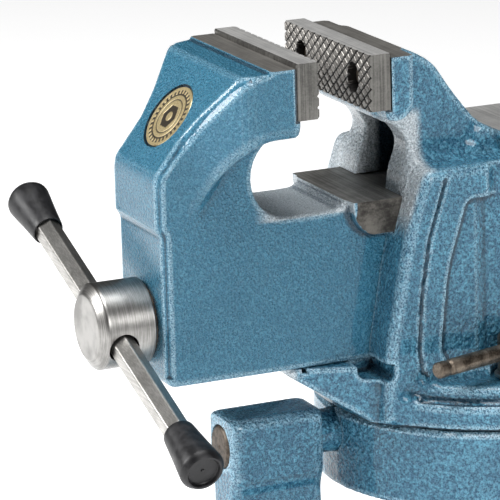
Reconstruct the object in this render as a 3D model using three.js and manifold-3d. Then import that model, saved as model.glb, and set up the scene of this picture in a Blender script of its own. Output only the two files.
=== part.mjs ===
// Bench vise on a swivelling, tilting base. Millimetres, +Z up.
// The jaws close along Y: the moving jaw and its handle are at -Y, the anvil at +Y.
// The origin lies on the bench face, under the swivel axis.
import * as THREE from "three";
import { mergeVertices } from "three/addons/utils/BufferGeometryUtils.js";
import Module from "manifold-3d";

const wasm = await Module();
wasm.setup();

// ---- Driving dimensions ----
const fitGap = 0.3; // between two pieces that touch
const slideGap = 0.4; // between a guide and what slides in it

// Foot bracket with its two uprights
const footThickness = 16;
const footHalfWidth = 105;
const footHalfLength = 196;
const footCorner = 24;
const tiltAxisHeight = 140;
const uprightLength = 64; // along Y
const uprightHalfWidth = 20.5;
const bossWall = 8; // over a trunnion
const bossCorner = 8;
const uprightClearance = 13; // from the tilt table's rim to an upright
const slotWidth = 15;
const slotLength = 30;
const slotX = 78;
const slotY = 160;

// Tilt table, the round body that carries the vise
const tableRadius = 115;
const tableCover = 1.5; // over a trunnion
const tableHeight = 50.8;
const tableHollowRadius = 56;
const tableRoof = 24;
const trunnionRadius = 14;
const trunnionInset = 16; // how far a trunnion reaches into the table
const grooveWidth = 13;
const grooveWide = 26;
const grooveNeck = 10;
const grooveDeep = 12;
const pivotRadius = 18;
const pivotRise = 28;
const pivotRoot = 22;

// Fixed jaw casting
const flangeHeight = 18;
const padRadius = 106;
const padHeight = 8;
const floorHeight = 38.6; // flange underside to the beam's underside
const housingHalfWidth = 66;
const panelDepth = 6;
const housingRear = 88;
const shoulderDrop = 77; // below the jaws' top
const anvilDrop = 65;
const anvilHalfWidth = 37.5;
const anvilFront = -22;
const anvilRear = 84;
const pillarHalfWidth = 41;
const webInnerHalfWidth = 20;
const webFront = 34; // behind the gripping face
const recessBack = 62; // behind the gripping face
const noseReach = 49; // ahead of the gripping face
const noseShoulder = 53; // half width beside the flange, clear of the uprights as the vise swivels

// Jaws
const jawWidth = 125;
const jawReach = 112; // gripping face of the fixed jaw, ahead of the swivel axis
const jawOpening = 34.5;
const plateHeight = 35.6;
const plateThickness = 14.6;
const plateProud = 3; // above the castings' top
const plateScrewSpacing = 76;
const plateScrewDrop = 18;
const plateScrewRadius = 4.2;
const plateScrewHead = 7;
const plateScrewHeadHeight = 7;
const plateScrewLength = 24;
const seatDepth = 15.5;
const lipDepth = 3; // of the ledge that each plate stands on
const throatDepth = 96;

// Moving jaw's beam, spindle and nut
const beamHeight = 104.5;
const beamHalfWidth = 36.15;
const railHalfWidth = 46;
const railDepth = 22;
const railFront = 5; // ahead of the fixed gripping face
const beamRear = 100;
const beamHollowRoom = 2.5; // beside the nut and the collar
const beamHollowHeight = 70;
const headWall = 22;
const frontReach = 80; // from the plate's seat to the lower front face
const spindleRise = 36; // above the beam's underside
const spindleRadius = 12;
const headRadius = 27.2;
const headLength = 36.6;
const headBevel = 6.5;
const washerThickness = 1.6;
const collarRadius = 20;
const collarLength = 12;
const collarPinRadius = 2.6;
const nutHalfWidth = 20;
const nutLength = 52;
const nutCentre = -46;
const nutTopAboveAxis = 18;
const nutBoltRadius = 6;
const spindleRear = 74;

// Tommy bar
const barFlats = 15;
const barLength = 289;
const barTilt = THREE.MathUtils.degToRad(20.8);
const barShift = 5; // towards the lowered end
const barAhead = 3.2; // bar's axis ahead of the head's middle
const capInnerRadius = 10;
const capOuterRadius = 14.1;
const capLength = 40;

// Swivel clamps, one each side
const clampRoom = 2.5; // between a clamp's washer and the housing's panel
const clampRim = 2; // washer beyond the nut
const clampWasher = 2.5;
const clampY = -21;
const clampStud = 6;
const clampHeadHalf = 8.8;
const clampHub = 11.5;
const clampHubHeight = 26;
const clampBarRadius = 5;
const clampBarLength = 94;
const clampBarShift = 21;
const clampBarTurn = THREE.MathUtils.degToRad(17);

// Tilt lock, a screw with a sliding bar in the rear upright
const tiltScrewRadius = 6;
const tiltHeadRadius = 11;
const tiltHeadLength = 20;
const tiltHeadStandoff = 4;
const tiltBarRadius = 5;
const tiltBarLength = 90;
const tiltBarShift = 10; // away from the tilt table

// Badge on the moving jaw's slope
const badgeRadius = 21.8;
const badgeThickness = 1.6;
const badgePocket = 2.6;
const badgeDrop = 37;

// ---- Levels and places that follow ----
const tableTop = tiltAxisHeight + trunnionRadius + tableCover;
const bossTop = tiltAxisHeight + trunnionRadius + bossWall;
const tableBottom = tableTop - tableHeight;
const flangeBottom = tableTop + slideGap;
const padTop = flangeBottom + flangeHeight + padHeight;
const beamBottom = flangeBottom + floorHeight;
const slideTop = beamBottom + beamHeight;
const railBottom = slideTop - railDepth;
const jawTop = slideTop + throatDepth;
const castTop = jawTop - plateProud;
const plateBottom = jawTop - plateHeight;
const spindleHeight = beamBottom + spindleRise;
const anvilTop = jawTop - anvilDrop;
const shoulderTop = jawTop - shoulderDrop;
const fixedGrip = -jawReach;
const fixedSeat = fixedGrip + plateThickness + fitGap;
const movingGrip = fixedGrip - jawOpening;
const movingSeat = movingGrip - plateThickness - fitGap;
const bodyFront = movingSeat - frontReach;
const headRear = bodyFront - washerThickness - fitGap;
const headMiddle = headRear - headLength / 2;
const uprightInner = tableRadius + uprightClearance;
const uprightOuter = uprightInner + uprightLength;
const clampX = housingHalfWidth - panelDepth + clampRoom + clampRim + clampHub;
const clampRadius = Math.hypot(clampX, clampY);
const beamHollowHalf = Math.max(nutHalfWidth, collarRadius) + beamHollowRoom;
const tiltLockY = uprightInner + uprightLength / 2;
const slopeTop = new THREE.Vector2(movingSeat - 34, jawTop - 6);
const slopeFoot = new THREE.Vector2(bodyFront - 2, jawTop - 66);
const clampBarHeight = padTop + 17.5;

// ---- Materials ----
const finish = (color, roughness, metalness) =>
  new THREE.MeshStandardMaterial({ color, roughness, metalness });
const hammertone = finish(0x4f8fae, 0.35, 0.3);
const groundSteel = finish(0x9a9791, 0.4, 0.9);
const brightSteel = finish(0xb9b6ae, 0.3, 1);
const darkSteel = finish(0x5e5348, 0.5, 0.9);
const blackPlastic = finish(0x232427, 0.5, 0);
const brass = finish(0xc9b98a, 0.35, 0.9);

// ---- Shape helpers ----
function solid(geometry) {
  const bare = geometry.index ? geometry.toNonIndexed() : geometry.clone();
  bare.deleteAttribute("normal");
  bare.deleteAttribute("uv");
  const merged = mergeVertices(bare, 1e-4);
  return new wasm.Manifold(
    new wasm.Mesh({
      numProp: 3,
      vertProperties: new Float32Array(merged.attributes.position.array),
      triVerts: new Uint32Array(merged.index.array),
    }),
  );
}

function geometryOf(body) {
  const mesh = body.getMesh();
  const geometry = new THREE.BufferGeometry();
  geometry.setAttribute("position", new THREE.BufferAttribute(mesh.vertProperties, 3));
  geometry.setIndex(new THREE.BufferAttribute(mesh.triVerts, 1));
  geometry.computeVertexNormals();
  return geometry;
}

function named(name, body, material, group) {
  const mesh = new THREE.Mesh(geometryOf(body), material);
  mesh.name = name;
  group.add(mesh);
  return mesh;
}

function shapeOf(points) {
  return new THREE.Shape(points.map(([a, b]) => new THREE.Vector2(a, b)));
}

function extruded(shape, depth) {
  return new THREE.ExtrudeGeometry(shape, { depth, bevelEnabled: false, curveSegments: 6 });
}

// A side outline of (y, z) points, carried along X from -half to +half.
function sidePrism(points, half) {
  const geometry = extruded(shapeOf(points), 2 * half);
  const turn = new THREE.Matrix4().makeBasis(
    new THREE.Vector3(0, 1, 0),
    new THREE.Vector3(0, 0, 1),
    new THREE.Vector3(1, 0, 0),
  );
  return solid(geometry.applyMatrix4(turn).translate(-half, 0, 0));
}

// A plan outline of (x, y) points, carried up from z0 to z1.
function planPrism(points, z0, z1) {
  return solid(extruded(shapeOf(points), z1 - z0).translate(0, 0, z0));
}

// A front outline, a shape in (x, z), carried along Y from y0 to y1.
function frontPrism(shape, y0, y1) {
  const geometry = extruded(shape, y1 - y0);
  return solid(geometry.rotateX(Math.PI / 2).translate(0, y1, 0));
}

function block(x0, x1, y0, y1, z0, z1) {
  const geometry = new THREE.BoxGeometry(x1 - x0, y1 - y0, z1 - z0);
  return solid(geometry.translate((x0 + x1) / 2, (y0 + y1) / 2, (z0 + z1) / 2));
}

// A turned body about +Z from (radius, z) points that start and end on the axis.
function turned(profile, sides = 28) {
  const points = profile.map(([r, z]) => new THREE.Vector2(r, z));
  return new THREE.LatheGeometry(points, sides).rotateX(Math.PI / 2);
}

function disc(radius, z0, z1, sides = 28) {
  return solid(turned([[0, z0], [radius, z0], [radius, z1], [0, z1]], sides));
}

function turnedAlongY(profile, sides) {
  return solid(turned(profile, sides).rotateX(-Math.PI / 2));
}

// A round bar along Y from y0 to y1 about (x, z).
function rodY(radius, y0, y1, x, z, sides = 24) {
  const rod = turned([[0, y0], [radius, y0], [radius, y1], [0, y1]], sides);
  return solid(rod.rotateX(-Math.PI / 2).translate(x, 0, z));
}

function ring(outer, inner, z0, z1, sides = 28) {
  return disc(outer, z0, z1, sides).subtract(disc(inner, z0 - 1, z1 + 1, sides));
}

function roundedRectangle(halfX, z0, z1, corner) {
  const shape = new THREE.Shape();
  shape.moveTo(-halfX, z0);
  shape.lineTo(halfX, z0);
  shape.lineTo(halfX, z1 - corner);
  shape.absarc(halfX - corner, z1 - corner, corner, 0, Math.PI / 2, false);
  shape.absarc(corner - halfX, z1 - corner, corner, Math.PI / 2, Math.PI, false);
  return shape;
}

// ---- Foot bracket ----
function footPlate() {
  const cut = footCorner;
  const x = footHalfWidth;
  const y = footHalfLength;
  const outline = [
    [-x + cut, -y], [x - cut, -y], [x, -y + cut], [x, y - cut],
    [x - cut, y], [-x + cut, y], [-x, y - cut], [-x, -y + cut],
  ];
  return planPrism(outline, 0, footThickness);
}

function benchSlot(x, y) {
  const shape = new THREE.Shape();
  const straight = (slotLength - slotWidth) / 2;
  shape.absarc(x + straight, y, slotWidth / 2, -Math.PI / 2, Math.PI / 2, false);
  shape.absarc(x - straight, y, slotWidth / 2, Math.PI / 2, -Math.PI / 2, false);
  return solid(extruded(shape, footThickness + 2).translate(0, 0, -1));
}

// An upright is a round-topped boss on a waisted leg that spreads into the foot.
function upright(side) {
  const bossBottom = 2 * tiltAxisHeight - bossTop - 2;
  const near = Math.min(side * uprightInner, side * uprightOuter);
  const far = Math.max(side * uprightInner, side * uprightOuter);
  const boss = frontPrism(
    roundedRectangle(uprightHalfWidth, bossBottom, bossTop, bossCorner), near, far,
  );
  const waist = uprightHalfWidth - 5;
  const foot = uprightHalfWidth * 2.6;
  const legTop = bossBottom + 1;
  const root = footThickness - 1;
  const leg = shapeOf([
    [-foot, root], [foot, root], [foot * 0.62, root + 24], [waist + 2, bossBottom - 22],
    [waist, bossBottom - 8], [uprightHalfWidth - 0.5, legTop],
    [0.5 - uprightHalfWidth, legTop], [-waist, bossBottom - 8],
    [-waist - 2, bossBottom - 22], [-foot * 0.62, root + 24],
  ]);
  return boss.add(frontPrism(leg, near, far));
}

function footBracket() {
  let body = footPlate().add(upright(-1)).add(upright(1));
  const bore = trunnionRadius + slideGap;
  for (const side of [-1, 1])
    for (const across of [-1, 1])
      body = body.subtract(benchSlot(across * slotX, side * slotY));
  body = body.subtract(
    rodY(bore, -uprightOuter - 1, uprightOuter + 1, 0, tiltAxisHeight),
  );
  return body.subtract(tiltLockHole());
}

// The rear upright is drilled from +X for the screw that locks the tilt.
function tiltLockHole() {
  const drill = disc(tiltScrewRadius + fitGap, 0, 60, 16);
  return drill.rotate([0, 90, 0]).translate([0, tiltLockY, tiltAxisHeight]);
}

// ---- Tilt table ----
function tiltTable() {
  let body = disc(tableRadius, tableBottom, tableTop, 56);
  body = body.subtract(
    disc(tableHollowRadius, tableBottom - 1, tableTop - tableRoof, 32),
  );
  const neck = ring(
    clampRadius + grooveWidth / 2, clampRadius - grooveWidth / 2,
    tableTop - grooveNeck - 1, tableTop + 1, 48,
  );
  const wide = ring(
    clampRadius + grooveWide / 2, clampRadius - grooveWide / 2,
    tableTop - grooveNeck - grooveDeep, tableTop - grooveNeck, 48,
  );
  const bore = trunnionRadius + fitGap;
  const start = tableRadius - trunnionInset - fitGap;
  return body
    .subtract(neck.add(wide))
    .subtract(rodY(bore, -tableRadius - 1, -start, 0, tiltAxisHeight))
    .subtract(rodY(bore, start, tableRadius + 1, 0, tiltAxisHeight))
    .subtract(disc(pivotRadius + fitGap, tableTop - pivotRoot - 6, tableTop + 1, 24));
}

function trunnionPin() {
  const length = uprightOuter - tableRadius + trunnionInset + 1;
  const bevel = 2.5;
  const profile = [
    [0, 0], [trunnionRadius, 0], [trunnionRadius, length - bevel],
    [trunnionRadius - bevel, length], [0, length],
  ];
  return turnedAlongY(profile, 24);
}

function pivotPin() {
  const top = flangeBottom + pivotRise;
  return disc(pivotRadius, tableTop - pivotRoot, top, 24);
}

// ---- Fixed jaw casting ----
function pillar() {
  const front = fixedGrip + webFront;
  const rearTop = fixedSeat + seatDepth + 14;
  const base = shoulderTop - 16;
  return sidePrism(
    [
      [fixedSeat, castTop - 1], [fixedSeat, plateBottom - 4],
      [fixedSeat + 5, plateBottom - 12], [front - 2, plateBottom - 19],
      [front + 1, plateBottom - 38], [front - 3, base], [anvilFront, base],
      [anvilFront, anvilTop], [rearTop + 4, castTop - 3], [rearTop, castTop - 1],
    ],
    pillarHalfWidth,
  );
}

function jawSeat(seat, direction) {
  const back = seat + direction * seatDepth;
  const ledge = seat - direction * lipDepth;
  const wall = block(
    -jawWidth / 2, jawWidth / 2, Math.min(seat, back), Math.max(seat, back),
    plateBottom - 3, castTop,
  );
  const lip = block(
    -jawWidth / 2, jawWidth / 2, Math.min(ledge, back), Math.max(ledge, back),
    plateBottom - 9, plateBottom - fitGap,
  );
  return wall.add(lip);
}

function housingSide() {
  const front = fixedGrip + webFront;
  const height = shoulderTop - flangeBottom;
  const lean = [[0.97, 0], [0.8, -10], [0.64, -16], [0.45, -21.5], [0.3, -25.5], [0.14, -28]];
  const edge = lean.map(([share, y]) => [front + y, flangeBottom + share * height]);
  return [
    ...edge, [front - 28, flangeBottom + 4], [housingRear, flangeBottom + 4],
    [housingRear + 4, shoulderTop - 20], [housingRear - 4, shoulderTop],
    [front + 8, shoulderTop],
  ];
}

function sidePanel(side) {
  const front = fixedGrip + webFront;
  const outline = [
    [front + 30, shoulderTop - 22], [front + 6, padTop + 24], [front + 10, padTop],
    [housingRear + 6, padTop], [housingRear + 6, shoulderTop - 22],
  ];
  return sidePrism(outline, panelDepth)
    .translate([side * housingHalfWidth, 0, 0]);
}

function nose() {
  const profile = [
    [fixedGrip - noseReach, beamBottom - slideGap], [fixedGrip - noseReach + 3, beamBottom - 4],
    [-tableRadius + 4, flangeBottom], [-tableRadius + 40, flangeBottom],
    [-tableRadius + 40, beamBottom - slideGap],
  ];
  const plan = [
    [-64, -tableRadius + 45], [-noseShoulder, fixedGrip + 6], [-beamHalfWidth, fixedGrip - noseReach + 10],
    [-beamHalfWidth + 4, fixedGrip - noseReach - 1], [beamHalfWidth - 4, fixedGrip - noseReach - 1],
    [beamHalfWidth, fixedGrip - noseReach + 10], [noseShoulder, fixedGrip + 6], [64, -tableRadius + 45],
  ];
  return sidePrism(profile, 64).intersect(
    planPrism(plan, flangeBottom - 1, beamBottom + 1),
  );
}

// The way through the housing for the moving jaw's beam and rail.
function beamWay() {
  const box = beamHalfWidth + slideGap;
  const rail = railHalfWidth + slideGap;
  const low = beamBottom - slideGap;
  const shelf = railBottom - slideGap;
  const roof = slideTop + slideGap;
  const shape = shapeOf([
    [-box, low], [box, low], [box, shelf], [rail, shelf], [rail, roof],
    [-rail, roof], [-rail, shelf], [-box, shelf],
  ]);
  return frontPrism(shape, fixedGrip - noseReach - 2, housingRear + 6);
}

function fixedJawBody() {
  let body = pillar()
    .add(jawSeat(fixedSeat, 1))
    .add(sidePrism(housingSide(), housingHalfWidth))
    .add(disc(tableRadius, flangeBottom, flangeBottom + flangeHeight, 56))
    .add(disc(padRadius, flangeBottom + 1, padTop, 48))
    .add(nose())
    .add(block(-anvilHalfWidth, anvilHalfWidth, anvilFront - 4, anvilRear,
      shoulderTop - 4, anvilTop));
  for (const side of [-1, 1]) body = body.subtract(sidePanel(side));
  const recess = block(
    -webInnerHalfWidth, webInnerHalfWidth, fixedGrip + webFront - 16, fixedGrip + recessBack,
    slideTop - 1, plateBottom - 16,
  );
  body = body.subtract(beamWay()).subtract(recess);
  for (const side of [-1, 1]) {
    body = body.subtract(
      rodY(plateScrewRadius + fitGap, fixedSeat - 4, fixedSeat + 14,
        side * plateScrewSpacing / 2, jawTop - plateScrewDrop, 16),
    );
    body = body.subtract(
      disc(clampStud + 2 * fitGap, flangeBottom - 1, padTop + 1, 16)
        .translate([side * clampX, clampY, 0]),
    );
  }
  const counterbore = disc(nutBoltRadius * 1.9 + fitGap, flangeBottom - 1, flangeBottom + 9, 20)
    .add(disc(nutBoltRadius + fitGap, flangeBottom, beamBottom + 1, 16))
    .translate([0, nutCentre, 0]);
  return body
    .subtract(counterbore)
    .subtract(disc(pivotRadius + slideGap, flangeBottom - 1, flangeBottom + pivotRise + 1, 24));
}

// ---- Jaw plates and their screws, modelled with the gripping face at y = 0 ----
function jawPlate() {
  const w = jawWidth / 2;
  let body = block(-w, w, 0, plateThickness, plateBottom, jawTop);
  const height = jawTop - plateScrewDrop;
  for (const side of [-1, 1]) {
    const x = side * plateScrewSpacing / 2;
    body = body
      .subtract(rodY(plateScrewRadius + fitGap, -1, plateThickness + 1, x, height, 16))
      .subtract(rodY(plateScrewHead + fitGap, -1, plateScrewHeadHeight + 1.5, x, height, 20));
  }
  return body;
}

// A socket screw along Y with its head towards -Y.
function plateScrew() {
  const head = plateScrewHeadHeight;
  const profile = [
    [0, 0], [plateScrewHead, 0], [plateScrewHead, head],
    [plateScrewRadius, head], [plateScrewRadius, plateScrewLength], [0, plateScrewLength],
  ];
  const socket = rodY(3.4, -1, 3.6, 0, 0, 6);
  return turnedAlongY(profile, 16).subtract(socket);
}

function addPlate(group, name, body, face, direction) {
  const facing = direction > 0 ? 0 : Math.PI;
  const plate = named(name + "_jaw_plate", body, groundSteel, group);
  plate.position.set(0, face, 0);
  plate.rotation.z = facing;
  for (const [side, label] of [[-1, "left"], [1, "right"]]) {
    const screw = named(name + "_plate_screw_" + label, plateScrew(), darkSteel, group);
    screw.position.set(
      side * plateScrewSpacing / 2, face + direction * 1.2, jawTop - plateScrewDrop,
    );
    screw.rotation.z = facing;
  }
}

// ---- Moving jaw casting ----
function throatArc() {
  const centre = new THREE.Vector2(movingSeat + 4.4, slideTop + 20.5);
  const arc = new THREE.EllipseCurve(
    centre.x, centre.y, 24, 26.5, -Math.PI / 2, -Math.PI * 1.42, true,
  );
  return arc.getPoints(9).map((p) => [p.x, p.y]);
}

function movingOutline() {
  const railY = fixedGrip - railFront;
  return [
    [movingSeat, castTop], [slopeTop.x + 16, castTop], [slopeTop.x, slopeTop.y],
    [slopeFoot.x, slopeFoot.y], [slopeFoot.x - 1, slopeFoot.y - 6],
    [slopeFoot.x - 1, slopeFoot.y - 37], [bodyFront, slopeFoot.y - 40],
    [bodyFront, beamBottom + 5], [bodyFront + 5, beamBottom],
    [beamRear, beamBottom], [beamRear, slideTop], [railY, slideTop],
    [railY - 4, slideTop - 4], [railY - 10, slideTop - 6],
    ...throatArc(), [movingSeat + lipDepth, plateBottom - 8],
    [movingSeat + lipDepth, plateBottom - fitGap],
    [movingSeat, plateBottom - fitGap],
  ];
}

function jawHeadPlan() {
  const w = jawWidth / 2;
  const broad = movingSeat - 30;
  const narrow = movingSeat - 60;
  return [
    [-beamHalfWidth, narrow], [beamHalfWidth, narrow], [w, broad], [w, movingSeat + 4],
    [-w, movingSeat + 4], [-w, broad],
  ];
}

function slopeFrame() {
  const run = slopeFoot.clone().sub(slopeTop);
  const share = (slopeTop.y - (jawTop - badgeDrop)) / (slopeTop.y - slopeFoot.y);
  const point = slopeTop.clone().addScaledVector(run, share);
  return { y: point.x, z: point.y, angle: Math.atan2(-run.x, -run.y) };
}

// A disc whose axis is square to the slope; depth is measured into the casting.
function slopeDisc(radius, depth0, depth1, sides) {
  const frame = slopeFrame();
  const lean = 90 - THREE.MathUtils.radToDeg(frame.angle);
  return disc(radius, -depth1, -depth0, sides)
    .rotate([lean, 0, 0])
    .translate([0, frame.y, frame.z]);
}

function movingJawBody() {
  const outline = movingOutline();
  const width = jawWidth / 2 + 1;
  const head = sidePrism(outline, width).intersect(
    planPrism(jawHeadPlan(), plateBottom - 12, jawTop),
  );
  const wall = bodyFront + headWall;
  const hollow = block(
    -beamHollowHalf, beamHollowHalf, wall, beamRear + 1,
    beamBottom - 1, beamBottom + beamHollowHeight,
  );
  let body = sidePrism(outline, beamHalfWidth)
    .add(head)
    .add(block(-railHalfWidth, railHalfWidth, fixedGrip - railFront, beamRear,
      railBottom, slideTop))
    .subtract(hollow)
    .subtract(rodY(spindleRadius + slideGap, bodyFront - 5, wall + 1, 0, spindleHeight))
    .subtract(slopeDisc(badgeRadius + slideGap, -3, badgePocket, 32));
  for (const side of [-1, 1])
    body = body.subtract(
      rodY(plateScrewRadius + fitGap, movingSeat - 14, movingSeat + 4,
        side * plateScrewSpacing / 2, jawTop - plateScrewDrop, 16),
    );
  return body;
}

// ---- Spindle, nut and tommy bar ----
// The spindle runs along +Y from its head's front face at y = 0.
function spindle() {
  const shaft = spindleRear - (headRear - headLength);
  const profile = [
    [0, 0], [headRadius - headBevel, 0], [headRadius, headBevel * 0.55],
    [headRadius, headLength], [spindleRadius, headLength],
    [spindleRadius, shaft - 2], [spindleRadius - 2, shaft], [0, shaft],
  ];
  const hole = disc(barFlats / Math.sqrt(3) + 0.8, -headRadius - 2, headRadius + 2, 24)
    .rotate([0, 90, 0])
    .rotate([0, THREE.MathUtils.radToDeg(barTilt), 0])
    .translate([0, headLength / 2 - barAhead, 0]);
  const pinHole = disc(collarPinRadius + fitGap, -collarRadius - 1, collarRadius + 1, 12)
    .translate([0, collarMiddle() - (headRear - headLength), 0]);
  return turnedAlongY(profile, 32).subtract(hole).subtract(pinHole);
}

function collarMiddle() {
  return bodyFront + headWall + washerThickness + 2 * fitGap + collarLength / 2;
}

function washer(outer, inner, y0) {
  return rodY(outer, y0, y0 + washerThickness, 0, spindleHeight, 28)
    .subtract(rodY(inner, y0 - 1, y0 + washerThickness + 1, 0, spindleHeight, 24));
}

function collar() {
  const middle = collarMiddle();
  const half = collarLength / 2;
  return rodY(collarRadius, middle - half, middle + half, 0, spindleHeight, 24)
    .subtract(rodY(spindleRadius + fitGap, middle - half - 1, middle + half + 1,
      0, spindleHeight, 24))
    .subtract(disc(collarPinRadius + fitGap, spindleHeight - collarRadius - 1,
      spindleHeight + collarRadius + 1, 12).translate([0, middle, 0]));
}

function spindleNut() {
  const half = nutLength / 2;
  const top = spindleHeight + nutTopAboveAxis;
  return block(-nutHalfWidth, nutHalfWidth, nutCentre - half, nutCentre + half,
    beamBottom + fitGap - slideGap, top)
    .subtract(rodY(spindleRadius + fitGap, nutCentre - half - 1, nutCentre + half + 1,
      0, spindleHeight))
    .subtract(disc(nutBoltRadius + fitGap, beamBottom - 1, beamBottom + 15, 16)
      .translate([0, nutCentre, 0]));
}

function nutBolt() {
  const head = flangeBottom + 1;
  const neck = flangeBottom + 9 - fitGap;
  const tip = beamBottom + 13;
  const hexHead = disc(nutBoltRadius * 1.75, head, neck, 6);
  return hexHead.add(disc(nutBoltRadius, neck - 0.5, tip, 16)).translate([0, nutCentre, 0]);
}

function hexBar() {
  const across = barFlats / Math.sqrt(3);
  const rod = disc(across, -barLength / 2, barLength / 2, 6);
  return rod.rotate([0, 90, 0]);
}

function barCap() {
  const outer = capLength;
  const profile = [
    [0, 0], [capInnerRadius, 0], [capOuterRadius, outer - 4], [capOuterRadius - 1.5, outer],
    [capOuterRadius - 5, outer], [capOuterRadius - 5.5, outer - 1.6], [0, outer - 1.6],
  ];
  const grip = capLength - 6;
  const socket = disc(barFlats / Math.sqrt(3) + fitGap, -1, grip + fitGap, 6);
  return solid(turned(profile, 24)).subtract(socket).rotate([0, 90, 0]);
}

function addTommyBar(group) {
  const bar = new THREE.Group();
  bar.position.set(0, headMiddle - barAhead, spindleHeight);
  bar.rotation.y = barTilt;
  group.add(bar);
  const rod = named("tommy_bar", hexBar(), brightSteel, bar);
  rod.position.x = barShift;
  const start = barLength / 2 - capLength + 6;
  for (const [side, label] of [[-1, "left"], [1, "right"]]) {
    const cap = named("tommy_bar_cap_" + label, barCap(), blackPlastic, bar);
    cap.position.x = barShift + side * start;
    cap.rotation.z = side > 0 ? 0 : Math.PI;
  }
}

// ---- Swivel clamps ----
function clampBolt() {
  const headTop = tableTop - grooveNeck - 0.6;
  const half = clampHeadHalf;
  const head = block(-half, half, -half, half, headTop - 9, headTop);
  return head.add(disc(clampStud, headTop - 1, clampBarHeight - clampBarRadius - 1.5, 16));
}

function clampHubBody() {
  const bottom = padTop + clampWasher + 2 * fitGap;
  const profile = [
    [0, bottom], [clampHub, bottom], [clampHub, bottom + clampHubHeight - 3],
    [clampHub - 3, bottom + clampHubHeight], [0, bottom + clampHubHeight],
  ];
  const cross = disc(clampBarRadius + slideGap, -clampHub - 2, clampHub + 2, 16)
    .rotate([90, 0, 0])
    .translate([0, 0, clampBarHeight]);
  return solid(turned(profile, 20))
    .subtract(disc(clampStud + fitGap, bottom - 1, clampBarHeight - 1, 16))
    .subtract(cross);
}

// A round bar along Y with a swaged neck near each end.
function swagedBar(radius, length) {
  const half = length / 2;
  const neck = radius * 0.78;
  const profile = [
    [0, -half], [radius - 1, -half], [radius + 0.6, 1.5 - half], [radius + 0.6, 7 - half],
    [neck, 9 - half], [radius, 12 - half], [radius, half - 12], [neck, half - 9],
    [radius + 0.6, half - 7], [radius + 0.6, half - 1.5], [radius - 1, half], [0, half],
  ];
  return turnedAlongY(profile, 16);
}

function addClamp(group, side, label) {
  const place = new THREE.Group();
  place.position.set(side * clampX, clampY, 0);
  group.add(place);
  named("clamp_bolt_" + label, clampBolt(), darkSteel, place);
  named("clamp_washer_" + label, ring(clampHub + clampRim, clampStud + 2 * fitGap,
    padTop + fitGap, padTop + fitGap + clampWasher, 20), groundSteel, place);
  const turn = new THREE.Group();
  turn.rotation.z = side * clampBarTurn;
  place.add(turn);
  named("clamp_nut_" + label, clampHubBody(), darkSteel, turn);
  const bar = named("clamp_bar_" + label,
    swagedBar(clampBarRadius, clampBarLength), darkSteel, turn);
  bar.position.set(0, -clampBarShift, clampBarHeight);
}

// ---- Tilt lock on the rear upright ----
function tiltScrew() {
  const tip = trunnionRadius + fitGap + slideGap;
  const shoulder = uprightHalfWidth + tiltHeadStandoff;
  const end = shoulder + tiltHeadLength;
  const profile = [
    [0, tip], [tiltScrewRadius, tip], [tiltScrewRadius, shoulder], [tiltHeadRadius, shoulder],
    [tiltHeadRadius, end - 2.5], [tiltHeadRadius - 2.5, end], [0, end],
  ];
  const cross = rodY(tiltBarRadius + slideGap, -tiltHeadRadius - 2, tiltHeadRadius + 2,
    0, shoulder + tiltHeadLength / 2, 16);
  return solid(turned(profile, 20)).subtract(cross).rotate([0, 90, 0]);
}

function addTiltLock(group) {
  const place = new THREE.Group();
  place.position.set(0, tiltLockY, tiltAxisHeight);
  group.add(place);
  named("tilt_lock_screw", tiltScrew(), darkSteel, place);
  const bar = named("tilt_lock_bar", swagedBar(tiltBarRadius, tiltBarLength), darkSteel, place);
  bar.position.set(
    uprightHalfWidth + tiltHeadStandoff + tiltHeadLength / 2, tiltBarShift, 0,
  );
}

// ---- The whole vise ----
function movingGroup() {
  const group = new THREE.Group();
  named("moving_jaw_body", movingJawBody(), hammertone, group);
  addPlate(group, "moving", jawPlate(), movingGrip, -1);
  named("badge_plate",
    slopeDisc(badgeRadius, badgePocket - fitGap - badgeThickness, badgePocket - fitGap, 32),
    brass, group);
  const screw = named("spindle", spindle(), brightSteel, group);
  screw.position.set(0, headRear - headLength, spindleHeight);
  named("thrust_washer_front",
    washer(headRadius - 3, spindleRadius + fitGap, headRear + fitGap / 2), darkSteel, group);
  named("thrust_washer_rear",
    washer(collarRadius, spindleRadius + fitGap, bodyFront + headWall + fitGap),
    darkSteel, group);
  named("spindle_collar", collar(), darkSteel, group);
  const pin = named("collar_pin",
    disc(collarPinRadius, 1 - collarRadius, collarRadius - 1, 12), darkSteel, group);
  pin.position.set(0, collarMiddle(), spindleHeight);
  addTommyBar(group);
  return group;
}

function swivelGroup() {
  const group = new THREE.Group();
  named("fixed_jaw_body", fixedJawBody(), hammertone, group);
  addPlate(group, "fixed", jawPlate(), fixedGrip, 1);
  named("spindle_nut", spindleNut(), darkSteel, group);
  named("spindle_nut_bolt", nutBolt(), darkSteel, group);
  addClamp(group, -1, "left");
  addClamp(group, 1, "right");
  group.add(movingGroup());
  return group;
}

function tiltGroup() {
  const group = new THREE.Group();
  named("tilt_table", tiltTable(), hammertone, group);
  for (const [side, label] of [[-1, "front"], [1, "rear"]]) {
    const pin = named("trunnion_pin_" + label, trunnionPin(), groundSteel, group);
    pin.position.set(0, side * (tableRadius - trunnionInset), tiltAxisHeight);
    pin.rotation.z = side > 0 ? 0 : Math.PI;
  }
  named("swivel_pivot_pin", pivotPin(), groundSteel, group);
  group.add(swivelGroup());
  return group;
}

const vise = new THREE.Group();
named("foot_bracket", footBracket(), hammertone, vise);
addTiltLock(vise);
vise.add(tiltGroup());

export default vise;
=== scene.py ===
import math

import bmesh
import bpy
import numpy as np
from mathutils import Matrix, Vector


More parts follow.
